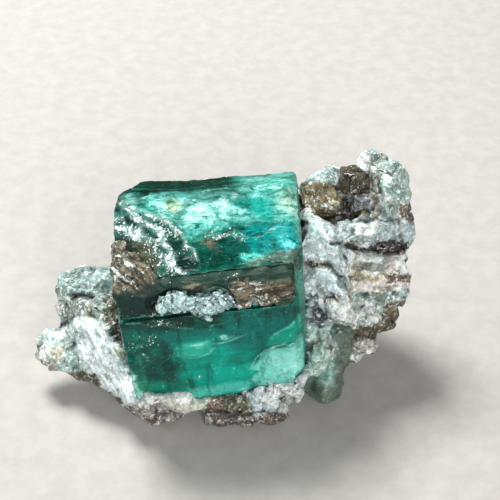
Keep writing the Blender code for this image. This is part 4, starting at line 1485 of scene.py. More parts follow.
@dataclass(frozen=True)
class RockMark:
    """A patch, crevice or swelling of the rock, drawn where the photograph shows it.

    The points are (right, down) in the photograph. width is a line's half width and ragged how
    far its edge wanders, both on the same scale. push moves the surface towards the camera, in
    millimetres, and its darkening is painted shade, for cracks, hollows and undersides.
    """

    form: MarkForm
    points: tuple[Spot, ...]
    mineral: Mineral | None = None
    width: float = 0.0
    ragged: float = 5.0
    push: float = 0.0
    dirt: float = 0.0
    soft: float = 2.5

    def mask(self, spots: Array, seed: int) -> Array:
        """How much of the mark each spot has, from 0 to 1.

        Args:
            spots: rows of (right, down).
            seed: which noise bends the mark's edge.

        Returns:
            One number for each spot.
        """
        corners = np.array(self.points)
        margin = self.width + self.soft + 2.0 * self.ragged
        low, high = corners.min(axis=0) - margin, corners.max(axis=0) + margin
        near = np.all((spots > low) & (spots < high), axis=1)
        close = spots[near]
        bend = Noise.bend(np.column_stack([close, np.zeros(len(close))]), 16.0, (seed, seed + 50), 4)
        gap = gap_to(self.points, self.form is MarkForm.AREA, close + bend * self.ragged) - self.width
        mask = np.zeros(len(spots))
        mask[near] = 1.0 - ease(-self.soft, self.soft, gap)
        return mask


def patch(mineral: Mineral, *points: Spot, **more: float) -> RockMark:
    """A patch of one mineral."""
    return RockMark(MarkForm.AREA, points, mineral, **more)


def seam(width: float, mineral: Mineral, *points: Spot, **more: float) -> RockMark:
    """A narrow seam of one mineral."""
    return RockMark(MarkForm.LINE, points, mineral, width, **more)


def swell(push: float, *points: Spot, **more: float) -> RockMark:
    """A part of the rock that stands out, or lies back where push is negative."""
    return RockMark(MarkForm.AREA, points, push=push, **{"soft": 8.0, **more})


def crevice(width: float, depth: float, *points: Spot, **more: float) -> RockMark:
    """A crack: the surface lies back there, and is darkened with painted shade."""
    usual = {"dirt": 0.95, "ragged": 4.0}
    return RockMark(MarkForm.LINE, points, None, width, push=-depth, **{**usual, **more})


ROCK_MARKS = (
    # the left lobe
    patch(M.FIBRE, (60, 270), (84, 262), (114, 262), (116, 290), (100, 300), (88, 297), (66, 292)),
    patch(M.MINT, (57, 290), (72, 292), (74, 304), (60, 306)),
    patch(M.DOME, (68, 301), (85, 299), (90, 309), (82, 319), (68, 318), ragged=3, push=0.3),
    patch(M.SILKY, (72, 322), (84, 312), (92, 303), (103, 312), (112, 326), (119, 346), (128, 365),
          (138, 388), (138, 402), (120, 402), (98, 388), (80, 370), (74, 345)),
    patch(M.LIME, (84, 302), (93, 302), (95, 322), (86, 318), ragged=4),
    patch(M.LIME, (111, 344), (122, 345), (125, 362), (113, 356), ragged=4),
    patch(M.MINT, (38, 338), (58, 325), (73, 320), (78, 350), (84, 372), (62, 374), (42, 360)),
    patch(M.SUGAR, (52, 328), (64, 324), (70, 338), (58, 342)),
    patch(M.GOLD, (57, 352), width=5, ragged=3),
    patch(M.CREAM, (48, 345), (66, 345), (68, 360), (50, 360), ragged=4),
    # painted shade: the dark brown underside of the left lobe
    patch(M.BROWN, (52, 368), (70, 370), (88, 374), (102, 390), (120, 398), (126, 416), (96, 402),
          (60, 384), dirt=0.3),
    patch(M.OLIVE, (100, 300), (116, 298), (119, 318), (108, 326), (102, 314), ragged=4),
    patch(M.TEAL, (92, 300), (104, 298), (108, 312), (98, 310), ragged=4),
    patch(M.BROWN, (113, 326), (121, 326), (126, 350), (119, 346), ragged=3),
    swell(0.9, (66, 330), (80, 322), (86, 362), (72, 366)),
    swell(0.5, (84, 330), (100, 326), (112, 366), (98, 372)),
    crevice(2.6, 0.7, (72, 296), (82, 294), (92, 297), ragged=2),
    crevice(1, 0.3, (92, 299), (104, 304), (112, 300), dirt=0.7),
    crevice(1.2, 0.4, (62, 305), (70, 318), (60, 326), dirt=0.5),
    crevice(0.8, 0.2, (118, 330), (124, 350), (133, 375), (137, 390), dirt=0.6),
    # the front lip
    swell(0.5, (136, 394), (170, 396), (205, 400), (204, 408), (140, 404), soft=5),
    patch(M.PEARL, (134, 391), (165, 393), (188, 397), (206, 399), (204, 404), (170, 402), (138, 402),
          ragged=3),
    patch(M.CREAM, (163, 400), (212, 400), (210, 412), (174, 411), ragged=4),
    patch(M.PINK, (128, 403), (160, 404), (176, 412), (178, 424), (140, 426)),
    patch(M.MAUVE, (140, 414), (160, 414), (166, 426), (144, 426)),
    patch(M.TAN, (206, 402), (244, 400), (246, 416), (206, 420), ragged=4),
    patch(M.OLIVE, (222, 398), (240, 392), (250, 388), (256, 400), (248, 412), (232, 412), dirt=0.15),
    patch(M.GREY, (246, 388), (272, 384), (274, 404), (254, 408)),
    patch(M.SUGAR, (264, 388), (312, 376), (314, 402), (292, 416), (268, 408)),
    patch(M.BLACK, (246, 398), width=4, ragged=6),
    patch(M.BLACK, (262, 410), width=3, ragged=6),
    patch(M.BLACK, (284, 396), width=2.5, ragged=6),
    # painted shade: the dark brown underside along the bottom edge
    patch(M.MAUVE, (184, 415), (222, 419), (262, 419), (300, 411), (292, 428), (186, 428), dirt=0.2),
    crevice(1.2, 0.4, (170, 411), (205, 412), (240, 415), (270, 412), dirt=0.8),
    crevice(1, 0.3, (140, 403), (152, 406), (166, 412), dirt=0.7),
    # the right lobe, from the top
    patch(M.FIBRE, (292, 170), (315, 164), (342, 166), (340, 182), (318, 181), (296, 188)),
    patch(M.GREY, (296, 172), (312, 170), (312, 176), (298, 180)),
    patch(M.OLIVE, (300, 182), (346, 178), (346, 204), (322, 214), (302, 208)),
    # partly dark mica, partly painted shade in the hollow beside it
    patch(M.BLACK, (318, 213), (344, 196), (352, 208), (348, 226), (326, 227), ragged=4, dirt=0.2),
    patch(M.OLIVE, (304, 212), (322, 216), (334, 226), (342, 233), (316, 228), ragged=4),
    patch(M.OLIVE, (346, 222), (354, 222), (356, 244), (348, 246), ragged=4),
    patch(M.GOLD, (353, 204), (376, 206), (378, 218), (354, 215), ragged=4),
    patch(M.MINT, (374, 160), (392, 154), (410, 172), (416, 206), (396, 206), (382, 192), (376, 176)),
    patch(M.SUGAR, (364, 190), (384, 190), (398, 204), (380, 208), (366, 202)),
    patch(M.TEAL, (394, 172), (404, 178), (402, 190), (394, 186)),
    patch(M.BROWN, (398, 207), (418, 204), (418, 222), (402, 220), ragged=4),
    patch(M.GREY, (350, 222), (372, 219), (399, 221), (401, 240), (372, 243), (352, 241), ragged=3,
          push=0.35),
    patch(M.PEARL, (356, 222), (374, 220), (378, 232), (358, 236), ragged=4),
    patch(M.GREY, (400, 222), (416, 222), (416, 242), (402, 242), ragged=3),
    patch(M.MINT, (340, 222), (350, 222), (352, 242), (340, 238), ragged=3),
    crevice(2.6, 0.9, (334, 242), (352, 247), (372, 250), (394, 252), (414, 247), ragged=3, dirt=0.4),
    crevice(1, 0.4, (400, 220), (401, 232), (402, 246), ragged=2, dirt=0.7),
    crevice(1.4, 0.5, (344, 216), (350, 220), (372, 217), (398, 218), dirt=0.55),
    swell(1.5, (338, 226), (352, 226), (356, 300), (342, 300), soft=12),
    patch(M.GREY, (300, 216), (330, 218), (346, 224), (348, 262), (322, 264), (303, 260)),
    patch(M.WAXY, (302, 216), (316, 218), (318, 234), (304, 236), ragged=6),
    patch(M.ROSE, (350, 254), (388, 252), (414, 254), (416, 286), (394, 294), (352, 288)),
    patch(M.TAN, (387, 275), (412, 272), (411, 285), (389, 286), ragged=4),
    patch(M.GOLD, (346, 274), (386, 274), (385, 283), (350, 284)),
    patch(M.PEARL, (362, 255), (382, 253), (388, 276), (374, 280), (366, 266)),
    patch(M.CREAM, (342, 266), (360, 263), (374, 267), (370, 276), (348, 277), ragged=4),
    patch(M.GOLD, (350, 270), (362, 268), (366, 273), (352, 275)),
    patch(M.PEARL, (394, 256), (408, 258), (410, 270), (398, 272), ragged=4),
    crevice(0.5, 0.12, (364, 256), (368, 272), (374, 288), dirt=0.35),
    crevice(0.5, 0.12, (384, 254), (390, 270), (393, 288), dirt=0.3),
    crevice(0.5, 0.12, (400, 256), (401, 270), (398, 284), dirt=0.35),
    patch(M.OLIVE, (308, 262), (326, 264), (332, 272), (312, 271), ragged=4),
    patch(M.GREY, (302, 272), (330, 270), (346, 280), (344, 298), (304, 298)),
    patch(M.OLIVE, (324, 294), (348, 293), (350, 302), (330, 304), ragged=4),
    crevice(1.6, 0.5, (304, 261), (316, 267), (324, 263), (332, 272), (340, 278), ragged=3),
    crevice(1, 0.3, (324, 226), (332, 244), (344, 256), dirt=0.5),
    patch(M.TEAL, (380, 289), (408, 284), (412, 300), (396, 306), (382, 303), ragged=4),
    crevice(0.9, 0.25, (376, 288), (392, 291), (408, 302), dirt=0.6),
    patch(M.SUGAR, (326, 302), (348, 298), (378, 300), (384, 326), (360, 334), (338, 334)),
    patch(M.PEARL, (334, 304), (352, 302), (362, 314), (344, 320)),
    # painted shade: the dark brown underside of the right lobe
    patch(M.BROWN, (384, 306), (408, 302), (408, 326), (386, 342), (356, 342), (352, 334), (380, 328),
          dirt=0.35),
    patch(M.PINK, (344, 340), (374, 338), (370, 354), (346, 354), ragged=4),
    patch(M.SUGAR, (342, 355), (368, 352), (368, 369), (346, 370), ragged=3),
    crevice(1.4, 0.5, (334, 336), (352, 340), (374, 336), (390, 344)),
    seam(3, M.NAVY, (313, 299), (316, 312), (320, 330), ragged=4),
    seam(2, M.NAVY, (323, 298), (327, 318), ragged=4),
    patch(M.MINT, (303, 300), (312, 300), (314, 322), (304, 322), ragged=4),
    patch(M.WAXY, (304, 324), (326, 328), (328, 350), (320, 382), (304, 382), ragged=4),
    crevice(0.9, 0.2, (301, 214), (303, 262), (305, 300), (309, 345), (311, 378), ragged=2, dirt=0.7),
)

# How common each mineral is where no zone says otherwise.
BACKGROUND = {M.SUGAR: 0.52, M.MINT: 0.40, M.GREY: 0.36, M.ROSE: 0.30,
              M.PINK: 0.24, M.BROWN: 0.27, M.FIBRE: 0.3, M.BLACK: 0.08}


@dataclass(frozen=True)
class RockFinish:
    """Broken rock in small facets, with silky streaks, stains and specks, painted glints, and painted shade
    in its cracks and hollows.
    """

    name: str = "matrix_minerals"
    facet: float = 1.1
    grain: Triple = (1.0, 1.0, 1.8)
    silk: Triple = (0.5, 0.5, 4.0)
    silk_turn: Triple = (127.6, 0.0, 40.1)
    pale: float = 0.7
    white: Triple = tone("f4faf9")

    def material(self) -> Material:
        """Builds the material.

        Returns:
            The material, whose tint, painted shade, rough, relief and silky come from the piece.
        """
        shade = Shade(self.name)
        place = shade.place()
        coarse = place.noise(0.7, 7.0, 0.5)
        fine = place.noise(3.0, 6.0, 0.4)
        wrinkles = shade.place(self.grain).noise(1.0, 8.0, 0.6)
        strands = shade.place(self.silk, turn=self.silk_turn).noise(1.0, 8.0, 0.35)
        torn = place.warped(1.6, 0.7)
        large = torn.crystals(0.7 * self.facet)
        small = torn.crystals(2.6 * self.facet).draw()
        threads = large.fibres(3.6)
        relief, silky = shade.value("relief"), shade.value("silky")
        flat = relief.span(0.0, 0.8, 0.3, 1.0)
        tint = shade.colour("tint")
        deep = tint.mix(1.0, tone("a9aea6"), "MULTIPLY")
        # each cell lighter or darker: partly the grains' own tone, partly painted light, as if facets
        # caught it at different angles
        tint = tint.mix(large.draw().span(0.55, 0.0) * flat, deep)
        tint = tint.mix(small.span(0.45, 0.0) * flat, deep)
        tint = tint.mix(coarse.span(0.45, 0.32), deep)
        stain = place.noise(0.5, 7.0, 0.8).span(0.54, 0.64, 0.0, 0.8) * relief.span(0.1, 0.6)
        tint = tint.mix(stain, tint.mix(1.0, tone("b0a47c"), "MULTIPLY"))
        tint = tint.mix(strands.span(0.52, 0.4) * silky, tint.mix(1.0, tone("bfcac7"), "MULTIPLY"))
        tint = tint.mix(strands.span(0.56, 0.64) * silky, self.white)
        tint = tint.mix(threads.span(0.53, 0.62) * self.pale, tint.mix(0.6, self.white))
        tint = tint.mix(threads.span(0.46, 0.34) * relief.span(0.0, 0.6, 0.55, 1.0), deep)
        # painted glints: small bright white spots
        tint = tint.mix(small.span(0.82, 0.88) * self.pale * fine.span(0.42, 0.52), tone("fbfdfd"))
        tint = tint.mix(fine.span(0.41, 0.34) * coarse.span(0.48, 0.4) * relief, tone("36362f"))
        # painted shade: darker in cracks, creases and hollows, and on shaded undersides
        tint = tint.mix(shade.value("dirt") * 0.92, tone("34332c"), "MULTIPLY")
        rough = shade.value("rough") + fine.span(0.3, 0.7, -0.15, 0.15)
        broken = torn.crystals(0.6 * self.facet).facets() + torn.crystals(1.6 * self.facet).facets() * 0.45
        height = broken * relief.span(0.0, 1.0, 0.1, 1.2) + fine * 0.2 + wrinkles * 0.25
        shade.bump(height + threads * 0.45 + strands * silky * 0.7, 0.44, 0.85)
        return shade.finish(Base_Color=tint, Roughness=rough, IOR=QUARTZ_IOR)


@dataclass
class MatrixRock(Piece):
    """The rock that holds the crystals."""

    node: str = "matrix_rock"
    name: str = "rock"
    grains: tuple[Scatter, ...] = (
        Scatter("rock_grains", GrainForm.SUGAR, "sugar", 0.36, 0.1, 0.32, 180, 1,
                GrainFinish("rock_sugar", tone("eef5f4"), 0.65), "matrix_rock"),
        Scatter("rock_mica_plates", GrainForm.PLATE, "plates", 0.6, 0.2, 0.6, 20, 2,
                PlateFinish("rock_mica", tone("1a1714"), tone("6b6250")), "dark_mica_book"))
    cell: float = 0.25
    reach: float = 0.75
    overlap: float = 0.06
    mark_seed: int = 700
    stone_size: float = 1.5
    facet_size: float = 2.7
    facet_depth: float = 0.82
    lump_size: float = 1.1
    lump_depth: float = 0.13
    grit: float = 0.06

    def build(self, neighbours: list[Piece]) -> None:
        """Makes the rock's broken surface, its minerals, and its contact with the crystals.

        Args:
            neighbours: the pieces that the rock holds.
        """
        mesh, points, _ = self.begin(self.cell, 5)
        for form in ROCK_FORMS:
            points = form.shape(points)
        move_points(mesh, points)
        normals = normals_of(mesh)
        choice, draw = self.minerals(points)
        drawn, dirt = self.drawn(points, normals, choice)
        claim = self.claims(points) ** 2
        relief = of_each(lambda look: look.relief)
        relief = 0.5 * relief[choice] + 0.5 * (claim @ relief / claim.sum(axis=1))
        push, crease_shade = self.relief(points, relief)
        points = points + normals * push[:, None] + drawn[:, None] * VIEW.towards()
        for neighbour in neighbours:
            points = lean_on(points, neighbour.obj, self.reach, self.overlap)
        points[:, 2] = np.maximum(points[:, 2], 0.0)
        move_points(mesh, points)
        light, dark = of_each(lambda look: (tone(look.light), tone(look.dark)))[choice].transpose(1, 0, 2)
        rough, sugar, plates = of_each(lambda look: (look.rough, look.sugar, look.plates))[choice].T
        high = ease(0.7, 1.1, points[:, 2])
        # painted shade: the creases between cells, the drawn cracks and shaded patches, and the hollows
        wear(mesh, RockFinish().material(), tint=blend(light, 0.75 * (1.0 - draw), dark),
             dirt=np.clip(crease_shade + dirt + hollows(mesh, points), 0, 1), rough=rough, relief=relief,
             silky=np.isin(choice, (PLACES[M.SILKY], PLACES[M.LIME])).astype(float),
             sugar=sugar * (0.3 + draw) * high, plates=plates * high)

    def drawn(self, points: Array, normals: Array, choice: Array) -> tuple[Array, Array]:
        """Puts the drawn marks on the side that faces the camera.

        Args:
            points: the vertices.
            normals: the way they look.
            choice: each vertex's mineral, which the patches change.

        Returns:
            How far each vertex moves towards the camera, and how much painted shade the cracks and shaded
            patches give it.
        """
        spots = VIEW.spots(points)
        front = ease(0.05, 0.3, normals @ VIEW.towards())
        push = np.zeros(len(points))
        dirt = np.zeros(len(points))
        for count, mark in enumerate(ROCK_MARKS):
            mask = mark.mask(spots, self.mark_seed + count) * front
            if mark.mineral:
                choice[mask > 0.5] = PLACES[mark.mineral]
            push += mark.push * mask
            dirt = np.maximum(dirt, mark.dirt * mask)
        return push, dirt

    @staticmethod
    def claims(points: Array) -> Array:
        """Finds how strongly each mineral claims each point.

        Args:
            points: the points.

        Returns:
            One column for each mineral.
        """
        claim = np.zeros((len(points), len(PLACES)))
        for mineral, share in BACKGROUND.items():
            claim[:, PLACES[mineral]] = share
        for zone in ROCK_ZONES:
            column = claim[:, PLACES[zone.mineral]]
            near = ease(1.35, 0.6, away(points, zone.middle, zone.radii))
            np.maximum(column, 2.0 * zone.amount * near, out=column)
        return claim

    def minerals(self, points: Array) -> tuple[Array, Array]:
        """Gives every stone cell one mineral.

        Args:
            points: the vertices.

        Returns:
            Each vertex's mineral, as a place in the list of minerals, and its cell's number.
        """
        warp = Noise.bend(points, 1.2, (60, 61, 62), 3)
        cells = Noise.cells(points + 0.3 * warp, self.stone_size, 70)
        claim = self.claims(cells.middle)
        grid = np.round(cells.middle * 97)
        spread = np.column_stack([Noise.chance(grid, 80 + column) for column in range(len(PLACES))])
        return np.argmax(claim * (0.35 + spread), axis=1), cells.draw

    def relief(self, points: Array, strength: Array) -> tuple[Array, Array]:
        """Broken facets, small lumps and grit, with painted shade along the creases.

        Args:
            points: the vertices.
            strength: how broken the surface is at each.

        Returns:
            How far each vertex moves out, and how much painted shade the creases between cells give it.
        """
        warp = Noise.bend(points, 1.6, (130, 131, 132), 2)
        large, facets = Noise.facets(points + 0.3 * warp, self.facet_size, (140, 160), 1.5, 0.7)
        small, lumps = Noise.facets(points + 0.15 * warp, self.lump_size, (150, 170), 1.5, 0.7)
        push = self.facet_depth * facets + self.lump_depth * lumps * strength
        push += self.grit * Noise.soft(points, 0.7, 160, 2) * strength
        # painted shade: darker along the creases between the cells
        crease_shade = 0.45 * (ease(0.16, 0.0, large.edge) + ease(0.16, 0.0, small.edge)) * strength
        return push * (0.25 + 0.75 * strength), crease_shade


# ---- crust and small crystals


@dataclass(frozen=True)
class SkinFinish:
    """Mica in torn sheets, with streaks along the piece's own flow."""

    name: str = "mica_skin_sheets"
    dark: Triple = tone("221f17")
    sheen: Triple = tone("a89a74")
    pale: Triple = tone("e6ecea")
    scale: float = 1.5
    metallic: float = 0.0

    def material(self) -> Material:
        """Builds the material.

        Returns:
            The material, whose tint, white, calm and flow come from the piece.
        """
        shade = Shade(self.name)
        flow = shade.add("Attribute", {}, "Vector", attribute_name="flow")
        even = shade.place()
        streaks = flow.noise(self.scale, 8.0, 0.7)
        lines = flow.noise(2.7 * self.scale, 6.0, 0.4)
        fine = even.noise(3.2, 7.0, 0.5)
        torn = even.noise(2.6, 9.0, 0.9)
        calm = shade.value("calm")
        lively = calm.span(0, 1, 1.0, 0.1)
        tint = shade.colour("tint")
        for wave, low, high, share in ((streaks, 0.48, 0.36, 0.8), (lines, 0.44, 0.34, 0.55),
                                       (fine, 0.46, 0.36, 0.6)):
            tint = tint.mix(wave.span(low, high, 0.0, share) * lively, self.dark)
        tint = tint.mix(lines.span(0.53, 0.66, 0.0, 0.6) * lively, self.sheen)
        crust = (streaks * 0.3 + torn * 0.7 + shade.value("white") * 0.22).span(0.63, 0.66)
        tint = tint.mix(crust, shade.mix(fine.span(0.42, 0.6), tone("a5b0ab"), self.pale))
        shade.bump(streaks + lines * 0.5 + fine * 0.3 + crust * 0.3, 0.4, 0.8)
        rough = fine.span(0.35, 0.65, 0.26, 0.48) + calm.span(0, 1, 0.0, 0.4)
        return shade.finish(Base_Color=tint, Roughness=rough, Metallic=self.metallic, IOR=1.55,
                            Specular_IOR_Level=0.28)


@dataclass
class MicaCrust(Piece):
    """The brown mica skin on the emerald's bevel and left end."""

    node: str = "mica_crust"
    name: str = "mica_skin"
    grains: tuple[Scatter, ...] = (
        Scatter("crust_plates", GrainForm.PLATE, "plates", 0.5, 0.2, 0.5, 10, 12,
                PlateFinish("crust_mica", tone("2b2a22"), tone("7d7a66")), "mica_crust"),
        Scatter("crust_crumbs", GrainForm.SUGAR, "sugar", 1.0, 0.06, 0.2, 180, 13,
                GrainFinish("crust_sugar", tone("e6ebea"), 0.3), "feldspar_grains"))
    cell: float = 0.13
    reach: float = 0.62
    overlap: float = 0.05
    sheet: float = 0.42
    run: float = 6.5
    depth: float = 0.2
    ragged: float = 0.12
    grit: float = 0.05
    browns: tuple[str, ...] = ("4f4d3f", "2b2c25", "78735f")

    def build(self, emerald: Object) -> None:
        """Makes the crust as torn sheets that run along the emerald's edge.

        Args:
            emerald: what the crust lies on.
        """
        mesh, points, normals = self.begin(self.cell, 2)
        own = LIE.own(points)
        u, back, up = own.T
        left = ease(-3.2, -5.6, u)
        across = 0.7 * (back + up)
        along = blend(u, left, 0.7 * (u - across))
        across = blend(across, left, 0.7 * (u + across))
        lie = np.column_stack([along / self.run, across, up - back])
        sheets = Noise.cells(lie * (1.0, 1.3, 1.0), self.sheet, 210)
        fibre = Noise.soft(lie, 0.5, 220, 3)
        push = self.depth * (sheets.draw - 0.45) * ease(0.0, 0.12, sheets.edge)
        push += self.ragged * fibre + self.grit * Noise.soft(own, 0.5, 225, 2)
        points = points + normals * push[:, None]
        move_points(mesh, lean_on(points, emerald, self.reach, self.overlap))
        wear(mesh, SkinFinish().material(), flow=np.column_stack([along / 5.0, across, up - back]),
             **self.paint(own, left, sheets.draw, fibre))

    def paint(self, own: Array, left: Array, draw: Array, fibre: Array) -> dict[str, Array]:
        """Colours the crust: brown sheets, white crumbs, green where the emerald shows, and a painted
        shadow under the top face's overhanging edge.

        Args:
            own: the vertices in the emerald's own frame.
            left: how far each belongs to the left end.
            draw: the number of the sheet that it is part of.
            fibre: how high its fibres stand.

        Returns:
            The numbers that the material and the grains read, by name.
        """
        u = own[:, 0]
        uneven = Noise.soft(own * (0.5, 1, 1), 1.6, 230, 3)
        gold = ease(1.2, 0.3, away(own, (9.6, -7.2, 6.4), (1.6, 1.4, 1.6)))
        green = ease(1.3, 0.6, away(own, (-3.2, -7.0, 6.2), (3.0, 1.8, 1.9)))
        dark = ease(0.5, -0.3, own[:, 2] - 7.2 + 0.8 * uneven) * left
        up, _ = Face.TOP.spots(own)
        # painted shadow: a dark green strip just below the top face's overhanging edge, with fewer white
        # crumbs and plates
        shadow_reach = 0.9 * ease(5.0, 7.0, u) + 0.7 * ease(-0.5, 1.5, u) * ease(5.0, 3.5, u)
        over = ease(-1.1, -0.4, up + shadow_reach + 0.35 * uneven) * ease(-3.6, -2.2, u)
        over = np.maximum(over, 0.8 * ease(-3.0, -3.5, up + 0.3 * uneven) * ease(4.5, 6.0, u))
        white = ease(0.3, 0.6, fibre + 0.6 * uneven + 0.5 * (draw - 0.6)) * (1.0 - 0.8 * green)
        white *= (1.0 - 0.9 * dark) * (1.0 - 0.7 * over)
        tint = np.array([tone(code) for code in self.browns])[(draw * 2.99).astype(int)]
        warm = ease(0.1, 0.7, Noise.soft(own, 2.4, 240, 2))
        for share, colour in ((0.5 * warm, "5f5947"), (0.35 * gold, "7a6c40"), (0.95 * green, "12362e"),
                              (dark, "0b2b26"), (0.9 * over, "0d382f")):
            tint = blend(tint, share, tone(colour))
        return {
            "tint": tint,
            "calm": np.maximum(np.maximum(dark, over), green),
            "white": white * (0.75 - 0.15 * left) + 0.32 * left * (1.0 - dark),
            "sugar": white * 0.9 + 0.05,
            "plates": (1.0 - white) * (1.0 - green) * (1.0 - dark) * (1.0 - over),
        }


@dataclass
class FeldsparCluster(Piece):
    """The white cluster of grains on the crust's lower edge."""

    node: str = "feldspar_grains"
    name: str = "feldspar_cluster"
    grains: tuple[Scatter, ...] = (
        Scatter("cluster_sugar", GrainForm.SUGAR, "sugar", 1.0, 0.1, 0.34, 180, 21,
                GrainFinish("cluster_grain", tone("d8eff1"), 0.45), "feldspar_grains"),)
    cell: float = 0.1
    reach: float = 0.62
    overlap: float = 0.05
    grit: float = 0.06

    def build(self, emerald: Object) -> None:
        """Makes the cluster as packed, broken grains.

        Args:
            emerald: what the cluster lies on.
        """
        mesh, points, normals = self.begin(self.cell, 2)
        points[:, 0] += 0.45 * np.maximum(0.0, -6.5 - points[:, 0])
        points[:, 2] -= 0.4 * ease(-4.2, -2.4, points[:, 0]) * ease(19.0, 20.6, points[:, 2])
        warp = Noise.bend(points, 0.9, (330, 331, 332), 2)
        push = self.grit * Noise.soft(points, 0.4, 320, 2)
        for size, depth, seeds in ((0.55, 0.16, (310, 315)), (1.15, 0.5, (340, 345))):
            cells, height = Noise.facets(points + 0.25 * warp, size, seeds, 1.6, 0.8)
            push += depth * height
        points = lean_on(points + normals * push[:, None], emerald, self.reach, self.overlap)
        move_points(mesh, points)
        # painted shade: the faces that look down are darker
        low = ease(0.2, -1.0, normals[:, 2] + 0.3 * (cells.draw - 0.5))
        pale = np.array(tone("c0e4e8")) * (0.6 + 0.4 * cells.draw[:, None])
        tint = blend(pale, 0.6 * low, tone("6f8c8c"))
        # painted shade in the creases between the grains and in the hollows
        dirt = np.clip(0.5 * ease(0.1, 0.0, cells.edge) + 0.9 * hollows(mesh, points), 0, 1)
        full = np.ones(len(points))
        wear(mesh, RockFinish("cluster_minerals", 1.6, pale=0.45).material(), False, tint=tint, dirt=dirt,
             rough=0.45 * full, relief=0.9 * full, silky=0.0 * full, sugar=full)


@dataclass(frozen=True)
class GlassyFinish:
    """A small quartz or beryl crystal: clear in parts, cloudy in others."""

    name: str
    light: Triple
    dark: Triple
    clear: float
    absorption: Triple
    density: float
    ior: float = 1.55
    foot_shade: Triple | None = None

    def material(self) -> Material:
        """Builds the material.

        Returns:
            The material, the same all over but for the painted shade at its foot and right side, where it
            has one.
        """
        shade = Shade(self.name)
        place = shade.place()
        cloud = place.noise(0.9, 6.0, 0.8)
        fine = place.noise(5.0, 4.0, 0.3)
        tint = shade.mix(cloud.span(0.35, 0.62), self.dark, self.light)
        tint = tint.mix(fine.span(0.58, 0.72, 0.0, 0.6), tone("eef3ef"))
        # painted shade: darker towards the foot and the right side
        if self.foot_shade:
            low = place.axis("Z").span(5.0, 3.0, 0.0, 0.8)
            right = place.axis("X").span(11.9, 13.2, 0.0, 0.85)
            tint = tint.mix(low.most(right), self.foot_shade)
        shade.bump(fine * 0.4 + cloud, 0.1, 0.7)
        shade.water(self.absorption, self.density)
        through = cloud.span(0.62, 0.38, self.clear * 0.3, self.clear)
        rough = fine.span(0.35, 0.7, 0.08, 0.3)
        return shade.finish(Base_Color=tint, Transmission_Weight=through, Roughness=rough, IOR=self.ior)


@dataclass
class SmallCrystal(Piece):
    """One of the small crystals that the rock holds."""

    finish: GlassyFinish
    seed: int
    cell: float = 0.12
    size: float = 1.1
    depth: float = 0.12
    worn: int = 1

    def build(self) -> None:
        """Makes the crystal with its broken faces."""
        mesh, points, normals = self.begin(self.cell, self.worn)
        cells = Noise.cells(points, self.size, 400 + self.seed)
        push = self.depth * (cells.draw - 0.5) * ease(0.0, 0.2, cells.edge)
        push += (0.05 + 0.01 * self.worn) * Noise.soft(points, 0.8 + 0.05 * self.worn, 410 + self.seed, 3)
        points = points + normals * push[:, None]
        points[:, 2] = np.maximum(points[:, 2], 0.0)
        move_points(mesh, points)
        wear(mesh, self.finish.material())


@dataclass
class MicaBook(Piece):
    """A book of mica sheets."""

    dark: Triple
    light: Triple
    stack: Triple
    seed: int
    cell: float = 0.1
    sheet: float = 0.2
    step: float = 0.14

    def build(self) -> None:
        """Makes the book's sheets step in and out along its stack."""
        mesh, points, normals = self.begin(self.cell, 6)
        way = np.array(self.stack) / np.linalg.norm(self.stack)
        flat = points - np.outer(points @ way, way)
        height = points @ way + 0.25 * Noise.soft(points, 2.2, 500 + self.seed, 2)
        level = np.floor(height / self.sheet)
        cells = Noise.cells(flat + np.outer(level * 5.0, way), 1.3, 510 + self.seed)
        side = 1.0 - np.abs(normals @ way)
        push = self.step * (cells.draw - 0.55) * side
        push += 0.2 * (cells.draw - 0.5) * (1.0 - side) + 0.42 * Noise.soft(points, 1.7, 520 + self.seed, 3)
        move_points(mesh, points + normals * push[:, None])
        sunk = (points[:, 2].max() - points[:, 2]) / np.ptp(points[:, 2])
        share = (0.25 + 0.75 * cells.draw) * (1.0 - 0.6 * ease(0.2, 0.8, sunk))
        finish = SkinFinish(self.name + "_sheets", tuple(0.5 * np.array(self.dark)), scale=2.2,
                            metallic=0.15)
        wear(mesh, finish.material(), tint=blend(np.tile(self.dark, (len(points), 1)), share, self.light),
             white=0.4 * (cells.draw > 0.7) + 0.15, calm=np.full(len(points), 0.3),
             flow=flat / 4.0 + np.outer(height, way))


# ---- studio


@dataclass(frozen=True)
class Lamp:
    """A square soft light: where it stands and points, in metres, its side, watts and colour."""

    name: str
    place: Triple
    aim: Triple
    size: float
    power: float
    colour: Triple

    def hang(self) -> None:
        """Puts the light in the scene."""
        light = bpy.data.lights.new(self.name, "AREA")
        light.size = self.size
        light.energy = self.power
        light.color = self.colour
        obj = bpy.data.objects.new(self.name, light)
        obj.location = self.place
        obj.rotation_euler = (Vector(self.aim) - Vector(self.place)).to_track_quat("-Z", "Y").to_euler()
        bpy.context.scene.collection.objects.link(obj)


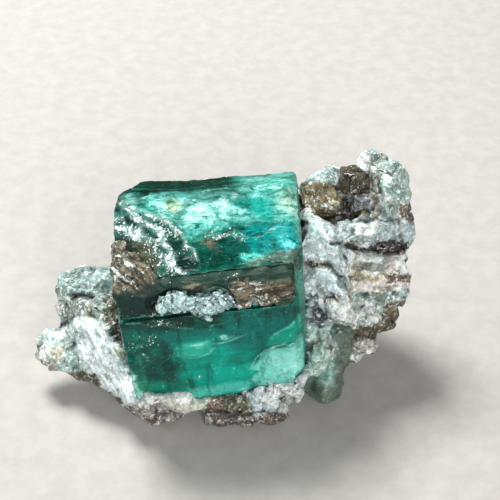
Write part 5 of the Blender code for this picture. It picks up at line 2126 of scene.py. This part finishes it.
@dataclass(frozen=True)
class Studio:
    """The floor, the lights and the camera."""

    view: Sight = VIEW
    sensor: float = 36.0
    floor_half: float = 1.2
    lamps: tuple[Lamp, ...] = (
        Lamp("overhead", (-0.12, 0.22, 0.40), (0, 0, 0.01), 0.16, 4.3, (1.0, 0.99, 0.97)),
        Lamp("front_fill", (0.12, -0.45, 0.28), (0, 0, 0.012), 0.3, 2.9, (1.0, 0.98, 0.96)),
        Lamp("left_rim", (-0.42, 0.06, 0.16), (0, 0, 0.012), 0.2, 0.6, (0.93, 0.97, 1.0)))
    air: tuple[float, ...] = (0.86, 0.92, 1.0, 1.0)
    air_strength: float = 0.2

    def floor(self) -> None:
        """A pale floor with a faint grain."""
        bm = bmesh.new()
        bmesh.ops.create_grid(bm, x_segments=8, y_segments=8, size=self.floor_half)
        mesh = bpy.data.meshes.new("floor")
        bm.to_mesh(mesh)
        bm.free()
        shade = Shade("pale_floor")
        grain = shade.place().noise(0.4)
        tint = shade.mix(grain.span(0.3, 0.7), tone("999793"), tone("a19f9b"))
        mesh.materials.append(shade.finish(Base_Color=tint, Roughness=0.8))
        link("floor", mesh)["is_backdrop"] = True

    def lights(self) -> None:
        """A bright window overhead and behind, and weak fill from the front and the left."""
        for lamp in self.lamps:
            lamp.hang()
        world = bpy.data.worlds.new("studio_air")
        world.use_nodes = True
        world.node_tree.nodes["Background"].inputs["Color"].default_value = self.air
        world.node_tree.nodes["Background"].inputs["Strength"].default_value = self.air_strength
        bpy.context.scene.world = world
        bpy.context.scene.view_settings.view_transform = "Standard"

    def camera(self) -> None:
        """Looks down at the specimen from the front, as the photograph does."""
        data = bpy.data.cameras.new("camera")
        data.sensor_width = self.sensor
        data.lens = self.sensor * self.view.distance / self.view.frame_width
        data.clip_start = 0.005
        camera = bpy.data.objects.new("camera", data)
        aim = (np.array(self.view.aim) + SHIFT) * MM
        camera.location = aim + self.view.distance * MM * self.view.towards()
        camera.rotation_euler = (math.pi / 2 - math.radians(self.view.height), 0.0, 0.0)
        bpy.context.scene.collection.objects.link(camera)
        bpy.context.scene.camera = camera

    def build(self) -> None:
        """Sets up the whole studio."""
        self.floor()
        self.lights()
        self.camera()


def corners(bounds: object) -> list[list[float]]:
    """A box as plain lists of numbers."""
    return [[float(number) for number in corner] for corner in bounds]


def small_pieces() -> list[SmallCrystal | MicaBook]:
    """Describes the small crystals and mica books that the rock holds.

    Returns:
        The five pieces, not yet built.
    """
    # the beryl's last colour is the painted shade at its foot and right side
    beryl = GlassyFinish("pale_beryl", tone("8fb8b0"), tone("527a71"), 0.3, (0.4, 0.85, 0.75), 120.0, 1.57,
                         tone("4a5242"))
    smoky = GlassyFinish("smoky_quartz", tone("544e39"), tone("211f18"), 0.6, (0.62, 0.5, 0.36), 260.0)
    clear = GlassyFinish("clear_quartz", tone("c9d0c4"), tone("7c8578"), 0.6, (0.86, 0.85, 0.76), 90.0)
    return [
        SmallCrystal("small_beryl_crystal", "small_beryl", beryl, 1, 0.16, 2.6, 0.25, 40),
        SmallCrystal("smoky_quartz_crystal", "smoky_quartz_block", smoky, 2),
        SmallCrystal("clear_quartz_crystal", "clear_quartz_block", clear, 3),
        MicaBook("bronze_mica_book", "bronze_mica", tone("2f2c20"), tone("857d5e"), (0.5, -0.3, 0.8), 1),
        MicaBook("dark_mica_book", "dark_mica", tone("282a30"), tone("949aa3"), (0.2, -0.6, 0.75), 2),
    ]


def main() -> None:
    """Builds and dresses every piece."""
    logging.basicConfig(level=logging.INFO, format="%(message)s")
    plain = corners(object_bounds())
    Studio().build()
    emerald, crust, cluster, rock = Emerald(), MicaCrust(), FeldsparCluster(), MatrixRock()
    emerald.build()
    crust.build(emerald.obj)
    cluster.build(emerald.obj)
    stones = small_pieces()
    for stone in stones:
        stone.build()
    rock.build([emerald, crust] + stones)
    for piece in [emerald, crust, cluster, rock] + stones:
        piece.dress()
    {"cad": plain, "visual": corners(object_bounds())}


if __name__ == "__main__":
    main()
